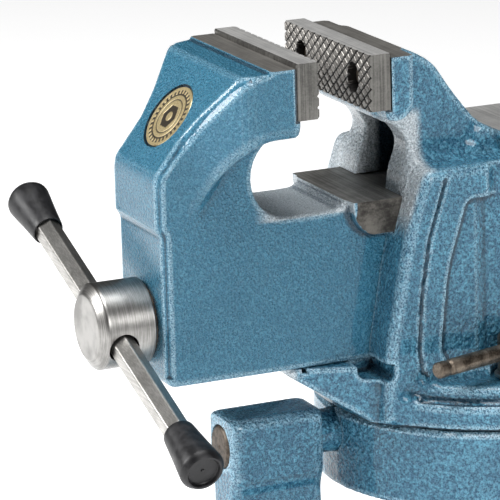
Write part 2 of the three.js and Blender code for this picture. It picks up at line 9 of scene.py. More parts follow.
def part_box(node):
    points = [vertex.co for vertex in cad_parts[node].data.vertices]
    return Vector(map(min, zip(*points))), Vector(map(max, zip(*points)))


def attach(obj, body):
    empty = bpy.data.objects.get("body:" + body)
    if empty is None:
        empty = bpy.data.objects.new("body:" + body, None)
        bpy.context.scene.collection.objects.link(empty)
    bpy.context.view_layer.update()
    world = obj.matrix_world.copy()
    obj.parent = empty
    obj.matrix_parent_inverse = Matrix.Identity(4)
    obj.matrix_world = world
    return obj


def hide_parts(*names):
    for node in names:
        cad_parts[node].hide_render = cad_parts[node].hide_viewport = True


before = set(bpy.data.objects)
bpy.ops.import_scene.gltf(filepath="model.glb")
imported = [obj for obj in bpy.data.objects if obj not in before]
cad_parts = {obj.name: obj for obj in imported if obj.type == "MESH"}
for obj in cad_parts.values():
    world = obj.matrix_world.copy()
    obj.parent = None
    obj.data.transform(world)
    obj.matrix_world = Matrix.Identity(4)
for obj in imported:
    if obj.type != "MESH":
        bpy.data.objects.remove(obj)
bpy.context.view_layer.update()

METRE = 0.001
CREASE = math.radians(32)
HALF_SQUARE = 0.7071


# ---- Places read from the frame ----
def span(node):
    """Lowest and highest corner of a CAD node, in millimetres."""
    low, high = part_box(node)
    return np.array(low) / METRE, np.array(high) / METRE


def middle(node):
    """Centre of a CAD node's box, in millimetres."""
    low, high = span(node)
    return (low + high) / 2


plate_low, plate_high = span("fixed_jaw_plate")
moving_low, moving_high = span("moving_jaw_body")
table_low, table_high = span("tilt_table")
foot_low, foot_high = span("foot_bracket")

fit = 0.3
gap = 0.4
jaw_top = plate_high[2]
jaw_half = plate_high[0]
plate_bottom = plate_low[2]
fixed_grip = plate_low[1]
fixed_seat = plate_high[1] + fit
moving_grip = span("moving_jaw_plate")[1][1]
moving_seat = span("moving_jaw_plate")[0][1] - fit
cast_top = moving_high[2]
beam_bottom = moving_low[2]
beam_rear = moving_high[1]
head_front = moving_low[1]
body_front = head_front + 3
beam_half = 36.15
rail_half = 46
slide_top = beam_bottom + 104.5
rail_bottom = slide_top - 22
rail_front = fixed_grip - 5
flange_bottom = span("fixed_jaw_body")[0][2]
housing_half = 66
pillar_half = 41
shoulder_top = jaw_top - 77
anvil_top = jaw_top - 65
anvil_half = 37.5
anvil_rear = 84
web_front = fixed_grip + 34
housing_rear = 88
pad_top = flange_bottom + 26
pad_radius = 106
nose_root = -70
nose_shoulder = 53
rim_radius = table_high[0]
spindle_z = middle("spindle")[2]
spindle_radius = 12
tilt_z = middle("trunnion_pin_front")[2]
clamp_x, clamp_y = middle("clamp_nut_right")[:2]
screw_x = middle("fixed_plate_screw_right")[0]
screw_z = middle("fixed_plate_screw_right")[2]
bar_tilt = math.radians(20.8)
clamp_turn = math.radians(17)
clamp_bar_length = 94
clamp_bar_shift = 21
tilt_bar_length = 90
lock_bar_radius = 5.2
lock_bar_bore = 5.5
pin_radius = 14
badge_pocket = 22.6


# ---- Distance fields ----
def rounded(corners, pieces=5):
    """Corners (a, b, r) as an outline whose corner is a parabola from r before it to r after it.

    A point of the parabola is (1-t)^2 start + 2t(1-t) corner + t^2 end. r stays under 45% of a side.
    """
    table = np.array([(*corner, 0.0)[:3] for corner in corners])
    p = table[:, :2]
    before, after = np.roll(p, 1, 0) - p, np.roll(p, -1, 0) - p
    back, ahead = np.hypot(*before.T), np.hypot(*after.T)
    reach = np.minimum(table[:, 2], 0.45 * np.minimum(back, ahead))
    start = p + before * (reach / back)[:, None]
    end = p + after * (reach / ahead)[:, None]
    t = np.linspace(0, 1, pieces)[None, :, None]
    curve = (1 - t) ** 2 * start[:, None] + 2 * t * (1 - t) * p[:, None] + t**2 * end[:, None]
    return curve.reshape(-1, 2)


def to_sides(a, b, points, closed=True):
    """Least distance in a plane from (a, b) to the straight sides between points."""
    ends = np.roll(points, -1, 0) if closed else points[1:]
    near = np.inf
    for (pa, pb), (qa, qb) in zip(points, ends):
        da, db = qa - pa, qb - pb
        along = np.clip(((a - pa) * da + (b - pb) * db) / max(da * da + db * db, 1e-9), 0, 1)
        near = np.minimum(near, (a - pa - along * da) ** 2 + (b - pb - along * db) ** 2)
    return np.sqrt(near)


class Outline:
    """A closed plane outline as a map of signed distance, read between the knots of a fine net.

    A knot is inside when a ray from it crosses the sides an odd number of times.
    """

    step = 0.5
    margin = 14

    def __init__(self, corners):
        points = rounded(corners)
        self.low = points.min(0) - self.margin
        count = np.ceil((points.max(0) + self.margin - self.low) / self.step).astype(int) + 2
        a = (self.low[0] + self.step * np.arange(count[0]))[:, None]
        b = (self.low[1] + self.step * np.arange(count[1]))[None, :]
        inside = np.zeros(count, bool)
        for (pa, pb), (qa, qb) in zip(points, np.roll(points, -1, 0)):
            if pb != qb:
                inside ^= ((pb > b) != (qb > b)) & (a < (qa - pa) * (b - pb) / (qb - pb) + pa)
        self.map = np.where(inside, -1, 1) * to_sides(a, b, points)

    def __call__(self, a, b):
        """Value between four knots, weighted by nearness; past the map, the way to it is added."""
        s, t = (a - self.low[0]) / self.step, (b - self.low[1]) / self.step
        sc = np.clip(s, 0, self.map.shape[0] - 1.001)
        tc = np.clip(t, 0, self.map.shape[1] - 1.001)
        i, j = sc.astype(int), tc.astype(int)
        fs, ft = sc - i, tc - j
        knots = self.map
        first = knots[i, j] * (1 - ft) + knots[i, j + 1] * ft
        second = knots[i + 1, j] * (1 - ft) + knots[i + 1, j + 1] * ft
        return first * (1 - fs) + second * fs + self.step * np.hypot(s - sc, t - tc)


def blend(a, b, r):
    """Two bodies joined by a cast fillet: the lesser value, less r/4 h^2 with h = 1 - |a-b|/r."""
    h = np.maximum(r - np.abs(a - b), 0) / r
    return np.minimum(a, b) - h * h * r / 4


def trim(a, b, r=0.01):
    """What two bodies share, with the edge between them rounded by r."""
    return -blend(-a, -b, r)


def cut(a, b, r=0.01):
    """Body a without body b, with the rim rounded by r."""
    return -blend(-a, b, r)


def slab(u, low, high):
    """Distance to the space between two parallel planes."""
    return np.abs(u - (low + high) / 2) - (high - low) / 2


def slope(field, points, reach=0.12):
    """Unit slope of a field, from differences over a short reach along each axis."""
    steps = np.eye(3) * reach
    rise = np.stack([field(*(points + s).T) - field(*(points - s).T) for s in steps], axis=1)
    return rise / np.maximum(np.linalg.norm(rise, axis=1, keepdims=True), 1e-9)


def crossings(field, value, low, step, axis):
    """Edges of the net along one axis that cross the surface: index, point, and if it starts inside.

    The crossing is found by four steps of false position along each edge.
    """
    first, second = [slice(None)] * 3, [slice(None)] * 3
    first[axis], second[axis] = slice(0, -1), slice(1, None)
    a, b = value[tuple(first)], value[tuple(second)]
    mask = (a < 0) != (b < 0)
    index = np.argwhere(mask)
    start = low + step * index
    va, vb = a[mask].astype(float), b[mask].astype(float)
    ta, tb = np.zeros(len(index)), np.ones(len(index))
    begins_inside = va < 0
    for _ in range(4):
        t = ta + (tb - ta) * va / (va - vb)
        point = start.copy()
        point[:, axis] += step * t
        v = field(*point.T)
        same = (v < 0) == begins_inside
        ta, va = np.where(same, t, ta), np.where(same, v, va)
        tb, vb = np.where(same, tb, t), np.where(same, vb, v)
    return index, point, begins_inside


def skin(field, low, high, step):
    """Surface where a field is zero, as points and four-sided faces.

    Each cell that the surface passes holds one point: the least-squares meeting of the tangent
    planes at its edges' crossings, held near the cell. Each crossing joins its four cells' points.
    """
    low = np.asarray(low, float) - 2.3 * step
    count = np.ceil((np.asarray(high, float) + 2.3 * step - low) / step).astype(int) + 1
    x, y, z = (low[k] + step * np.arange(count[k]) for k in range(3))
    value = field(x[:, None, None], y[None, :, None], z[None, None, :])
    value = np.broadcast_to(value, tuple(count)).astype(np.float32)
    cells = np.array(value.shape) - 1
    ids, points, slopes = [], [], []
    for axis in range(3):
        index, point, begins_inside = crossings(field, value, low, step, axis)
        u, v = (axis + 1) % 3, (axis + 2) % 3
        around = np.zeros((4, 3), int)
        around[:, u], around[:, v] = (-1, 0, 0, -1), (-1, -1, 0, 0)
        four = np.ravel_multi_index((index[:, None] + around).reshape(-1, 3).T, cells).reshape(-1, 4)
        ids.append(np.where(begins_inside[:, None], four, four[:, ::-1]))
        points.append(point)
        slopes.append(slope(field, point))
    ids, point, normal = np.concatenate(ids), np.concatenate(points), np.concatenate(slopes)
    active, place = np.unique(ids, return_inverse=True)
    place = place.reshape(ids.shape)
    flat = place.ravel()
    total = len(active)

    def gather(weights):
        return np.bincount(flat, weights=np.broadcast_to(weights, ids.shape).ravel(), minlength=total)

    number = np.bincount(flat, minlength=total)
    mass = np.stack([gather(point[:, k, None]) for k in range(3)], 1) / number[:, None]
    height = np.einsum("nk,nfk->nf", normal, point[:, None] - mass[place])
    square = np.zeros((total, 3, 3))
    right = np.zeros((total, 3))
    for i in range(3):
        right[:, i] = gather(normal[:, i, None] * height)
        for j in range(i, 3):
            square[:, i, j] = square[:, j, i] = gather((normal[:, i] * normal[:, j])[:, None])
    square += np.eye(3) * 0.04
    vertex = mass + np.linalg.solve(square, right[..., None])[..., 0]
    corner = low + step * np.stack(np.unravel_index(active, cells), 1)
    vertex = np.clip(vertex, corner - 0.1 * step, corner + 1.1 * step)
    return vertex, place


# ---- Meshes ----
def smooth(mesh):
    """Soft shading, with a crease where two faces meet at more than the crease angle."""
    mesh.shade_smooth()
    mesh.set_sharp_from_angle(angle=CREASE)


def points_of(mesh):
    """A mesh's points as rows of x, y and z, in millimetres."""
    flat = np.empty(len(mesh.vertices) * 3)
    mesh.vertices.foreach_get("co", flat)
    return flat.reshape(-1, 3) / METRE


def store(thing, name, values):
    """Keeps a value for each point, under a name that a material reads."""
    layer = thing.data.attributes.new(name, "FLOAT", "POINT")
    layer.data.foreach_set("value", np.asarray(values).astype(np.float32).ravel())


def piece(name, points, faces, body, replaced=(), slot=None):
    """A named mesh from points in millimetres, riding on a CAD body in place of CAD nodes."""
    mesh = bpy.data.meshes.new(name)
    mesh.from_pydata(np.asarray(points) * METRE, [], faces)
    mesh.validate()
    thing = bpy.data.objects.new(name, mesh)
    bpy.context.scene.collection.objects.link(thing)
    smooth(mesh)
    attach(thing, body)
    if replaced:
        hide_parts(*replaced)
    return thing


def grid_faces(rows, columns, wrap_rows=False, wrap_columns=False):
    """Four-sided faces between neighbours on a grid of points, joined end to end where asked."""
    r = np.arange(rows if wrap_rows else rows - 1)[:, None]
    c = np.arange(columns if wrap_columns else columns - 1)[None, :]
    up, over = (r + 1) % rows, (c + 1) % columns
    faces = [r * columns + c, r * columns + over, up * columns + over, up * columns + c]
    return np.stack([np.broadcast_to(f, (r.size, c.size)) for f in faces], -1).reshape(-1, 4)


def tube_faces(rings, sides):
    """Faces of a stack of rings: a grid joined round each ring, and a cap over each end ring."""
    last = (rings - 1) * sides
    return [*map(tuple, grid_faces(rings, sides, wrap_columns=True)),
            tuple(range(sides - 1, -1, -1)), tuple(range(last, last + sides))]


def turned(profile, sides=96, dense=None):
    """A body turned about +Y: each (radius, y) of the profile is a ring, and both ends are capped.

    A point is (r cos a, y, r sin a). dense puts more rings between the profile's points.
    """
    profile = np.array(profile, float)
    if dense:
        runs = [np.linspace(p, q, max(2, int(np.hypot(*(q - p)) / dense) + 1))[:-1]
                for p, q in zip(profile[:-1], profile[1:])]
        profile = np.concatenate([*runs, profile[-1:]])
    angle = np.linspace(0, 2 * np.pi, sides, endpoint=False)
    r, y = profile[:, :1], profile[:, 1:]
    points = np.stack([r * np.cos(angle), y + 0 * angle, r * np.sin(angle)], -1).reshape(-1, 3)
    return points, tube_faces(len(profile), sides)


def placed(points, rotation=None, offset=(0, 0, 0)):
    """Points turned by a matrix and then moved."""
    points = np.asarray(points)
    if rotation is not None:
        points = points @ np.array(rotation).T
    return points + np.asarray(offset)


def about(axis, angle):
    """Matrix that turns by an angle about X, Y or Z."""
    return np.array(Matrix.Rotation(angle, 3, axis))


def outward(thing):
    """Turns every face of a closed piece outwards."""
    shell = bmesh.new()
    shell.from_mesh(thing.data)
    bmesh.ops.remove_doubles(shell, verts=shell.verts, dist=1e-6)
    bmesh.ops.recalc_face_normals(shell, faces=shell.faces)
    shell.to_mesh(thing.data)
    shell.free()
    smooth(thing.data)
    return thing


def bored(thing, points, faces):
    """The piece less a closed drill shape, given by its points in millimetres and its faces."""
    mesh = bpy.data.meshes.new("drill")
    mesh.from_pydata(np.asarray(points) * METRE, [], faces)
    drill = bpy.data.objects.new("drill", mesh)
    bpy.context.scene.collection.objects.link(drill)
    outward(drill)
    step = thing.modifiers.new("bore", "BOOLEAN")
    step.operation = "DIFFERENCE"
    step.object = drill
    step.solver = "EXACT"
    bpy.context.view_layer.update()
    made = bpy.data.meshes.new_from_object(
        thing.evaluated_get(bpy.context.evaluated_depsgraph_get()))
    thing.modifiers.clear()
    old = thing.data
    thing.data = made
    made.name = thing.name
    bpy.data.meshes.remove(old)
    bpy.data.objects.remove(drill)
    smooth(made)


def fitting(name, shape, body, node, slot, material, drill=None):
    """A closed piece from its points and faces, bored where a drill is given, in one material."""
    thing = outward(piece(name, *shape, body, [node], slot))
    if drill:
        bored(thing, *drill)
    thing.data.materials.append(material)
    return thing


def relief(thing, field, unhighlit=None, reach=2.2, gain=4.5):
    """Two values per point for the paint: rim, where a highlight is painted on an outer edge, and a
    second, where shade is painted in a hollow.

    The mean of the field at six points round a surface point, over the reach, is above 0 on an outer
    edge and below 0 in a hollow. Where the given test holds, rim is 0 and no highlight is painted.
    """
    points = points_of(thing.data)
    steps = np.concatenate([np.eye(3), -np.eye(3)]) * reach
    bend = sum(field(*(points + s).T) for s in steps) / (6 * reach)
    rim = np.clip(bend * gain, 0, 1)
    if unhighlit:
        rim[unhighlit(*points.T)] = 0
    # rim is where a pale highlight is painted on outer edges; the second value is where deep shade is
    # painted in hollows.
    store(thing, "rim", rim)
    store(thing, "hollow_shade", np.clip(-bend * gain, 0, 1))


def ease(value, low, high):
    """A smooth step from 0 at one limit to 1 at the other: 3t^2 - 2t^3."""
    t = np.clip((value - low) / (high - low), 0, 1)
    return t * t * (3 - 2 * t)


def casting(name, field, low, high, step, body, node, worn=None, unhighlit=None):
    """A piece of painted iron from its distance field; worn(x, y, z) says how far its enamel turns pale
    grey: thin enamel on the fixed jaw, and on the foot's uprights partly a painted highlight.
    """
    points, faces = skin(field, low, high, step)
    points = np.clip(points, low, high)
    thing = piece(name, points, faces, body, [node], "hammertone_paint")
    relief(thing, field, unhighlit)
    points = points_of(thing.data)
    store(thing, "thin", worn(*points.T) if worn else np.zeros(len(points)))
    return thing


def finish_faces(thing, materials, choose):
    """Gives each face the material whose number choose(centre, normal) returns, in millimetres."""
    mesh = thing.data
    for material in materials:
        mesh.materials.append(material)
    count = len(mesh.polygons)
    centre, normal = np.empty(count * 3), np.empty(count * 3)
    mesh.polygons.foreach_get("center", centre)
    mesh.polygons.foreach_get("normal", normal)
    number = choose(centre.reshape(-1, 3) / METRE, normal.reshape(-1, 3))
    mesh.polygons.foreach_set("material_index", number.astype(np.int32))
    mesh.update()


# ---- Materials ----
class Paintbox:
    """Builds a material's nodes with short calls; every pattern is in Object coordinates."""

    def __init__(self, name):
        self.material = bpy.data.materials.new(name)
        self.material.use_nodes = True
        self.tree = self.material.node_tree
        self.shader = self.tree.nodes["Principled BSDF"]
        self.where = self.node("ShaderNodeTexCoord").outputs["Object"]

    def node(self, kind, **settings):
        made = self.tree.nodes.new(kind)
        for key, value in settings.items():
            setattr(made, key, value)
        return made

    def put(self, socket, value):
        """Links an output, or sets a plain value."""
        if isinstance(value, bpy.types.NodeSocket):
            self.tree.links.new(value, socket)
        else:
            socket.default_value = value

    def stretched(self, scale):
        """Object coordinates times a scale per axis."""
        mapping = self.node("ShaderNodeMapping")
        self.put(mapping.inputs["Vector"], self.where)
        mapping.inputs["Scale"].default_value = scale
        return mapping.outputs["Vector"]

    def noise(self, scale, detail=2.0, roughness=0.5, where=None):
        made = self.node("ShaderNodeTexNoise")
        self.put(made.inputs["Vector"], where or self.where)
        made.inputs["Scale"].default_value = scale
        made.inputs["Detail"].default_value = detail
        made.inputs["Roughness"].default_value = roughness
        return made.outputs["Fac"]

    def cells(self, scale, where):
        """Distance to the nearest of many scattered points, with soft borders."""
        made = self.node("ShaderNodeTexVoronoi", feature="SMOOTH_F1")
        self.put(made.inputs["Vector"], where)
        made.inputs["Scale"].default_value = scale
        return made.outputs["Distance"]

    def math(self, operation, a, b):
        made = self.node("ShaderNodeMath", operation=operation)
        for socket, value in zip(made.inputs, (a, b)):
            self.put(socket, value)
        return made.outputs[0]

    def total(self, first, *others):
        """Sum of patterns, each given with its share."""
        result = self.math("MULTIPLY", *first)
        for pattern, share in others:
            result = self.math("ADD", result, self.math("MULTIPLY", pattern, share))
        return result

    def ramp(self, value, low, high, out_low=0.0, out_high=1.0):
        """A smooth step from one value to another between two limits."""
        made = self.node("ShaderNodeMapRange", interpolation_type="SMOOTHSTEP")
        for socket, number in zip(made.inputs, (value, low, high, out_low, out_high)):
            self.put(socket, number)
        return made.outputs[0]

    def mix(self, share, a, b):
        made = self.node("ShaderNodeMix", data_type="RGBA")
        for socket, value in ((made.inputs[0], share), (made.inputs[6], a), (made.inputs[7], b)):
            self.put(socket, value)
        return made.outputs[2]

    def tone(self, value, low, high, dark, pale):
        """A dark colour that turns pale as a value rises from one limit to another."""
        return self.mix(self.ramp(value, low, high), (*dark, 1.0), (*pale, 1.0))

    def attribute(self, name):
        made = self.node("ShaderNodeAttribute")
        made.attribute_name = name
        return made.outputs["Fac"]

    def bump(self, height, distance, strength):
        made = self.node("ShaderNodeBump")
        made.inputs["Strength"].default_value = strength
        made.inputs["Distance"].default_value = distance
        self.put(made.inputs["Height"], height)
        return made.outputs["Normal"]

    def set(self, **values):
        """Shader sockets by name, with underscores for spaces."""
        for key, value in values.items():
            self.put(self.shader.inputs[key.replace("_", " ")], value)
        return self.material


def rgb(*values):
    return (*values, 1.0)


# Painted light: pale blue for the highlight on outer edges, deep blue for the shade in hollows.
EDGE_HIGHLIGHT_BLUE = rgb(0.50, 0.74, 0.88)
HOLLOW_SHADE_BLUE = rgb(0.006, 0.038, 0.070)
WORN_GREYS = rgb(0.48, 0.53, 0.56), rgb(0.86, 0.90, 0.93)


def hammered_blue(name, pebbles, deep, light, lift, edges=0.55):
    """Hammered enamel: pebbles with light crowns and deep blue between them, part the enamel's own
    mottle and part painted glints on the crowns.

    Outer edges carry a painted highlight, pale blue in spots; hollows carry painted shade in deep blue;
    and faces with a high thin value turn a rough grey blue.
    """
    box = Paintbox(name)
    warp = box.node("ShaderNodeVectorMath", operation="MULTIPLY_ADD")
    ripple = box.node("ShaderNodeTexNoise")
    box.put(ripple.inputs["Vector"], box.where)
    ripple.inputs["Scale"].default_value = 260
    box.put(warp.inputs[0], ripple.outputs["Color"])
    warp.inputs[1].default_value = (0.0022, 0.0022, 0.0022)
    box.put(warp.inputs[2], box.where)
    pebble = box.cells(pebbles, warp.outputs[0])
    fine = box.noise(pebbles * 2.1, 3, 0.6)
    broad = box.noise(28, 3, 0.55)
    # Pale crowns and specks: part the enamel's mottle, part painted glints on the pebbles.
    crown = box.ramp(pebble, 0.62, 0.18)
    speck = box.ramp(fine, 0.42, 0.66)
    share = box.total((crown, 0.5), (speck, 0.5))
    colour = box.mix(share, rgb(*deep), rgb(*light))
    colour = box.mix(box.ramp(broad, 0.35, 0.75, 0, 0.30), colour, rgb(*deep))
    # Painted highlight on outer edges and painted shade in hollows, from the values relief stores.
    rim = box.ramp(box.attribute("rim"), 0.07, 0.50)
    hollow_shade = box.ramp(box.attribute("hollow_shade"), 0.05, 0.5)
    edge = box.math("MULTIPLY", rim, box.ramp(fine, 0.40, 0.58, 0.15, 1.0))
    colour = box.mix(box.math("MULTIPLY", edge, edges), colour, EDGE_HIGHLIGHT_BLUE)
    worn = box.mix(speck, *WORN_GREYS)
    colour = box.mix(box.math("MULTIPLY", box.attribute("thin"), 0.85), colour, worn)
    colour = box.mix(box.math("MULTIPLY", hollow_shade, 0.88), colour, HOLLOW_SHADE_BLUE)
    height = box.total((crown, 0.7), (fine, 0.6))
    return box.set(
        Base_Color=colour,
        Metallic=0.2,
        Roughness=box.ramp(fine, 0.3, 0.7, 0.24, 0.40),
        Coat_Weight=0.55,
        Coat_Roughness=0.08,
        Normal=box.bump(height, lift, 1.0),
    )


def milled_iron(name, dark, pale, lay, roughness=0.42):
    """Milled iron: fine lines along one axis over a cloudy grey."""
    box = Paintbox(name)
    lines = box.noise(1.0, 3, 0.6, box.stretched(lay))
    cloud = box.noise(60, 4, 0.6)
    fine = box.noise(800, 2, 0.5)
    shade = box.total((lines, 0.5), (cloud, 0.35), (fine, 0.15))
    colour = box.tone(shade, 0.36, 0.64, dark, pale)
    return box.set(Base_Color=colour, Metallic=0.8, Roughness=roughness,
                   Normal=box.bump(lines, 0.00012, 0.5))


def checkered_steel():
    """Hardened grip: pale diamonds, with near-black painted shade in the grooves and counterbores."""
    box = Paintbox("checkered_steel")
    # Painted shade in the grooves and counterbores.
    groove = box.ramp(box.attribute("groove"), 0.05, 0.6)
    fine = box.noise(700, 3, 0.6)
    cloud = box.noise(110, 3, 0.6)
    shade = box.total((fine, 0.6), (cloud, 0.4))
    worn = box.tone(shade, 0.38, 0.66, (0.13, 0.12, 0.11), (0.44, 0.42, 0.39))
    colour = box.mix(groove, worn, rgb(0.010, 0.009, 0.008))
    metal = box.math("SUBTRACT", 0.8, box.math("MULTIPLY", groove, 0.7))
    return box.set(Base_Color=colour, Metallic=metal, Roughness=0.42,
                   Normal=box.bump(fine, 0.00015, 0.5))


def turned_steel():
    """Bright turned steel: fine rings about the spindle's axis under a faint brushed haze."""
    box = Paintbox("turned_steel")
    rings = box.noise(1.0, 2, 0.5, box.stretched((60, 2600, 60)))
    haze = box.noise(90, 4, 0.6)
    shade = box.total((rings, 0.6), (haze, 0.4))
    colour = box.tone(shade, 0.36, 0.64, (0.23, 0.225, 0.215), (0.42, 0.41, 0.395))
    return box.set(Base_Color=colour, Metallic=1.0, Roughness=0.34,
                   Normal=box.bump(rings, 0.00008, 0.4))


def drawn_steel():
    """Drawn bar: soft streaks along the bar, and a duller grey than the head."""
    box = Paintbox("drawn_steel")
    streaks = box.noise(1.0, 3, 0.6, box.stretched((30, 1400, 900)))
    cloud = box.noise(70, 4, 0.6)
    shade = box.total((streaks, 0.55), (cloud, 0.45))
    colour = box.tone(shade, 0.36, 0.66, (0.36, 0.35, 0.33), (0.60, 0.585, 0.56))
    return box.set(Base_Color=colour, Metallic=0.95, Roughness=0.34,
                   Normal=box.bump(streaks, 0.0001, 0.4))


def dark_steel():
    """Oiled dark steel with a brown cast and brighter rubbed spots."""
    box = Paintbox("dark_steel")
    cloud = box.noise(120, 4, 0.6)
    fine = box.noise(900, 3, 0.6)
    shade = box.total((cloud, 0.6), (fine, 0.4))
    colour = box.tone(shade, 0.36, 0.66, (0.060, 0.047, 0.036), (0.26, 0.215, 0.170))
    return box.set(Base_Color=colour, Metallic=0.85, Roughness=box.ramp(cloud, 0.3, 0.7, 0.34, 0.5),
                   Normal=box.bump(fine, 0.00015, 0.5))


def black_cap():
    """Satin black moulded plastic with a faint bloom."""
    box = Paintbox("black_cap")
    bloom = box.noise(160, 4, 0.6)
    fine = box.noise(1500, 2, 0.5)
    colour = box.tone(bloom, 0.4, 0.7, (0.007, 0.007, 0.008), (0.020, 0.020, 0.022))
    return box.set(Base_Color=colour, Roughness=box.ramp(bloom, 0.3, 0.7, 0.36, 0.52),
                   Specular_IOR_Level=0.4, Normal=box.bump(fine, 0.00006, 0.4))


def badge_brass():
    """Stamped brass: dark enamel in the ticks, the ring and the plain six-sided centre."""
    box = Paintbox("badge_brass")
    ink = box.attribute("ink")
    fine = box.noise(1200, 3, 0.6)
    gold = box.tone(fine, 0.35, 0.7, (0.58, 0.45, 0.22), (0.80, 0.68, 0.42))
    colour = box.mix(ink, gold, rgb(0.035, 0.028, 0.020))
    metal = box.math("SUBTRACT", 0.75, box.math("MULTIPLY", ink, 0.6))
    return box.set(Base_Color=colour, Metallic=metal, Roughness=0.36,
                   Normal=box.bump(fine, 0.00005, 0.3))


fine_paint = hammered_blue(
    "fine_hammered_blue", 640, (0.007, 0.122, 0.218), (0.076, 0.298, 0.438), 0.0014)
paint = hammered_blue("hammered_blue", 440, (0.002, 0.073, 0.148), (0.130, 0.415, 0.585), 0.0014)
# Near-black blue with no edge highlight: painted shade in gaps and pockets, and grease with painted
# shade in the recess between the webs.
shade_and_grease = hammered_blue("shaded_greasy_blue", 430, (0.003, 0.012, 0.022), (0.012, 0.038, 0.058), 0.0006, 0.0)
strip_iron = milled_iron("strip_iron", (0.23, 0.22, 0.205), (0.40, 0.385, 0.36), (12, 900, 12))
# Pale milled iron for the anvil's face; on the jaw plates' tops it is a painted highlight.
anvil_and_top_highlight_iron = milled_iron("anvil_and_top_highlight_iron", (0.58, 0.58, 0.57), (0.84, 0.83, 0.81), (10, 500, 10), 0.45)
slide_iron = milled_iron("slide_iron", (0.15, 0.145, 0.135), (0.36, 0.35, 0.33), (10, 500, 10), 0.5)
pin_iron = milled_iron("pin_iron", (0.035, 0.028, 0.022), (0.14, 0.115, 0.092), (300, 300, 300), 0.5)
rail_iron = milled_iron("rail_iron", (0.042, 0.039, 0.036), (0.175, 0.165, 0.148), (160, 120, 200), 0.6)
grip_steel = checkered_steel()
end_steel = milled_iron("end_steel", (0.085, 0.083, 0.078), (0.23, 0.225, 0.21), (700, 900, 12), 0.38)
head_steel = turned_steel()
bar_steel = drawn_steel()
brown_steel = dark_steel()
cap_plastic = black_cap()
brass = badge_brass()


# ---- Moving jaw casting ----
def throat_arc(start, stop, count=14):
    """Points of the throat's ellipse, 24 by 26.5 mm, from one angle to another, in degrees."""
    angle = np.radians(np.linspace(start, stop, count))
    return list(zip(moving_seat + 4.4 + 24 * np.cos(angle), slide_top + 20.5 + 26.5 * np.sin(angle)))


slope_top = np.array([moving_seat - 34, jaw_top - 6])
slope_foot = np.array([head_front + 1, jaw_top - 66])
slope_run = (slope_foot - slope_top) / np.hypot(*(slope_foot - slope_top))
slope_out = np.array([slope_run[1], -slope_run[0]])
badge_place = middle("badge_plate")
badge_rear = -190

moving_side = Outline([
    (beam_rear, beam_bottom, 2), (beam_rear, slide_top + 3, 2), (rail_front, slide_top + 3, 1),
    (rail_front - 1, slide_top - 1, 2), (rail_front - 6, slide_top - 5.5, 4),
    (rail_front - 16, slide_top - 6, 8), *throat_arc(-90, -255),
    (moving_seat + 3, plate_bottom - 14, 5), (moving_seat + 3, cast_top + 4),
    (moving_seat - 16, cast_top + 4, 0), (moving_seat - 16.5, cast_top, 1),
    (moving_seat - 17.5, cast_top - 1.6, 1), (moving_seat - 25, cast_top - 2.4, 5),
    (*slope_top, 8), (*slope_foot, 10), (head_front, slope_foot[1] - 7, 5),
    (head_front, jaw_top - 100, 2), (body_front, jaw_top - 105, 2), (body_front, beam_bottom, 7),
])
moving_plan = Outline([
    (-30, moving_seat + 12), (jaw_half, moving_seat + 12), (jaw_half, moving_seat - 32, 9),
    (beam_half - 1, moving_seat - 62, 4), (-30, moving_seat - 62),
])
moving_under = Outline([
    (moving_seat + 12, jaw_top + 14), (moving_seat + 12, plate_bottom - 11.5),
    (moving_seat - 20, plate_bottom - 12, 9), (moving_seat - 35, plate_bottom - 21, 9),
    (moving_seat - 50, plate_bottom - 42, 9), (moving_seat - 66, plate_bottom - 60, 5),
    (head_front - 12, plate_bottom - 60), (head_front - 12, jaw_top + 14),
])
rail_side = Outline([
    (rail_front, slide_top + 4), (rail_front, slide_top - 6, 6), (rail_front + 4, rail_bottom + 6, 7),
    (rail_front + 12, rail_bottom, 5), (beam_rear, rail_bottom, 2), (beam_rear, slide_top + 4),
])


def from_badge(x, y, z):
    """Distance from the badge's axis, and height above the badge's middle along that axis."""
    across, along = y - badge_place[1], z - badge_place[2]
    radial = np.hypot(x, across * slope_run[0] + along * slope_run[1])
    return radial, across * slope_out[0] + along * slope_out[1]


def moving_field(x, y, z):
    """The side outline trimmed by the head's and the beam's width, with a cove on its front edges.

    Rails are joined to the beam, then the seat, the top and the slide are cut flat.
    """
    wide = np.abs(x)
    side = moving_side(y, z)
    head = trim(moving_plan(wide, y), moving_under(y, z), 9)
    width = blend(wide - beam_half, head, 10)
    body = trim(side, width, 3.5)
    cove = np.hypot(side - 1.6, width - 1.6) - 5.6
    cove = np.maximum(cove, np.maximum(y - (moving_seat - 28), beam_bottom + 6 - z))
    body = cut(body, cove, 1.2)
    rail = trim(rail_side(y, z), wide - rail_half, 1.5)
    body = blend(body, rail, 4)
    seat = np.maximum(moving_seat - y, plate_bottom - fit - z)
    body = np.maximum(body, -seat)
    body = np.maximum(body, -np.maximum(cast_top - z, moving_seat - 17 - y))
    ragged = 0.9 * np.sin(x * 0.9 + 2 * np.sin(x * 0.23)) + 0.7 * np.sin(x * 2.1 + 1)
    body = np.maximum(body, -np.maximum(slide_top - z, rail_front - 2 + ragged - y))
    hollow = trim(wide - 22.5, trim(z - beam_bottom - 70, body_front + 22 - y, 4), 4)
    body = cut(body, hollow, 2)
    bore = np.maximum(np.hypot(x, z - spindle_z) - spindle_radius - gap, y - body_front - 23)
    body = cut(body, bore, 1)
    radial, height = from_badge(x, y, z)
    return cut(body, np.maximum(radial - badge_pocket, -0.9 - height), 0.4)


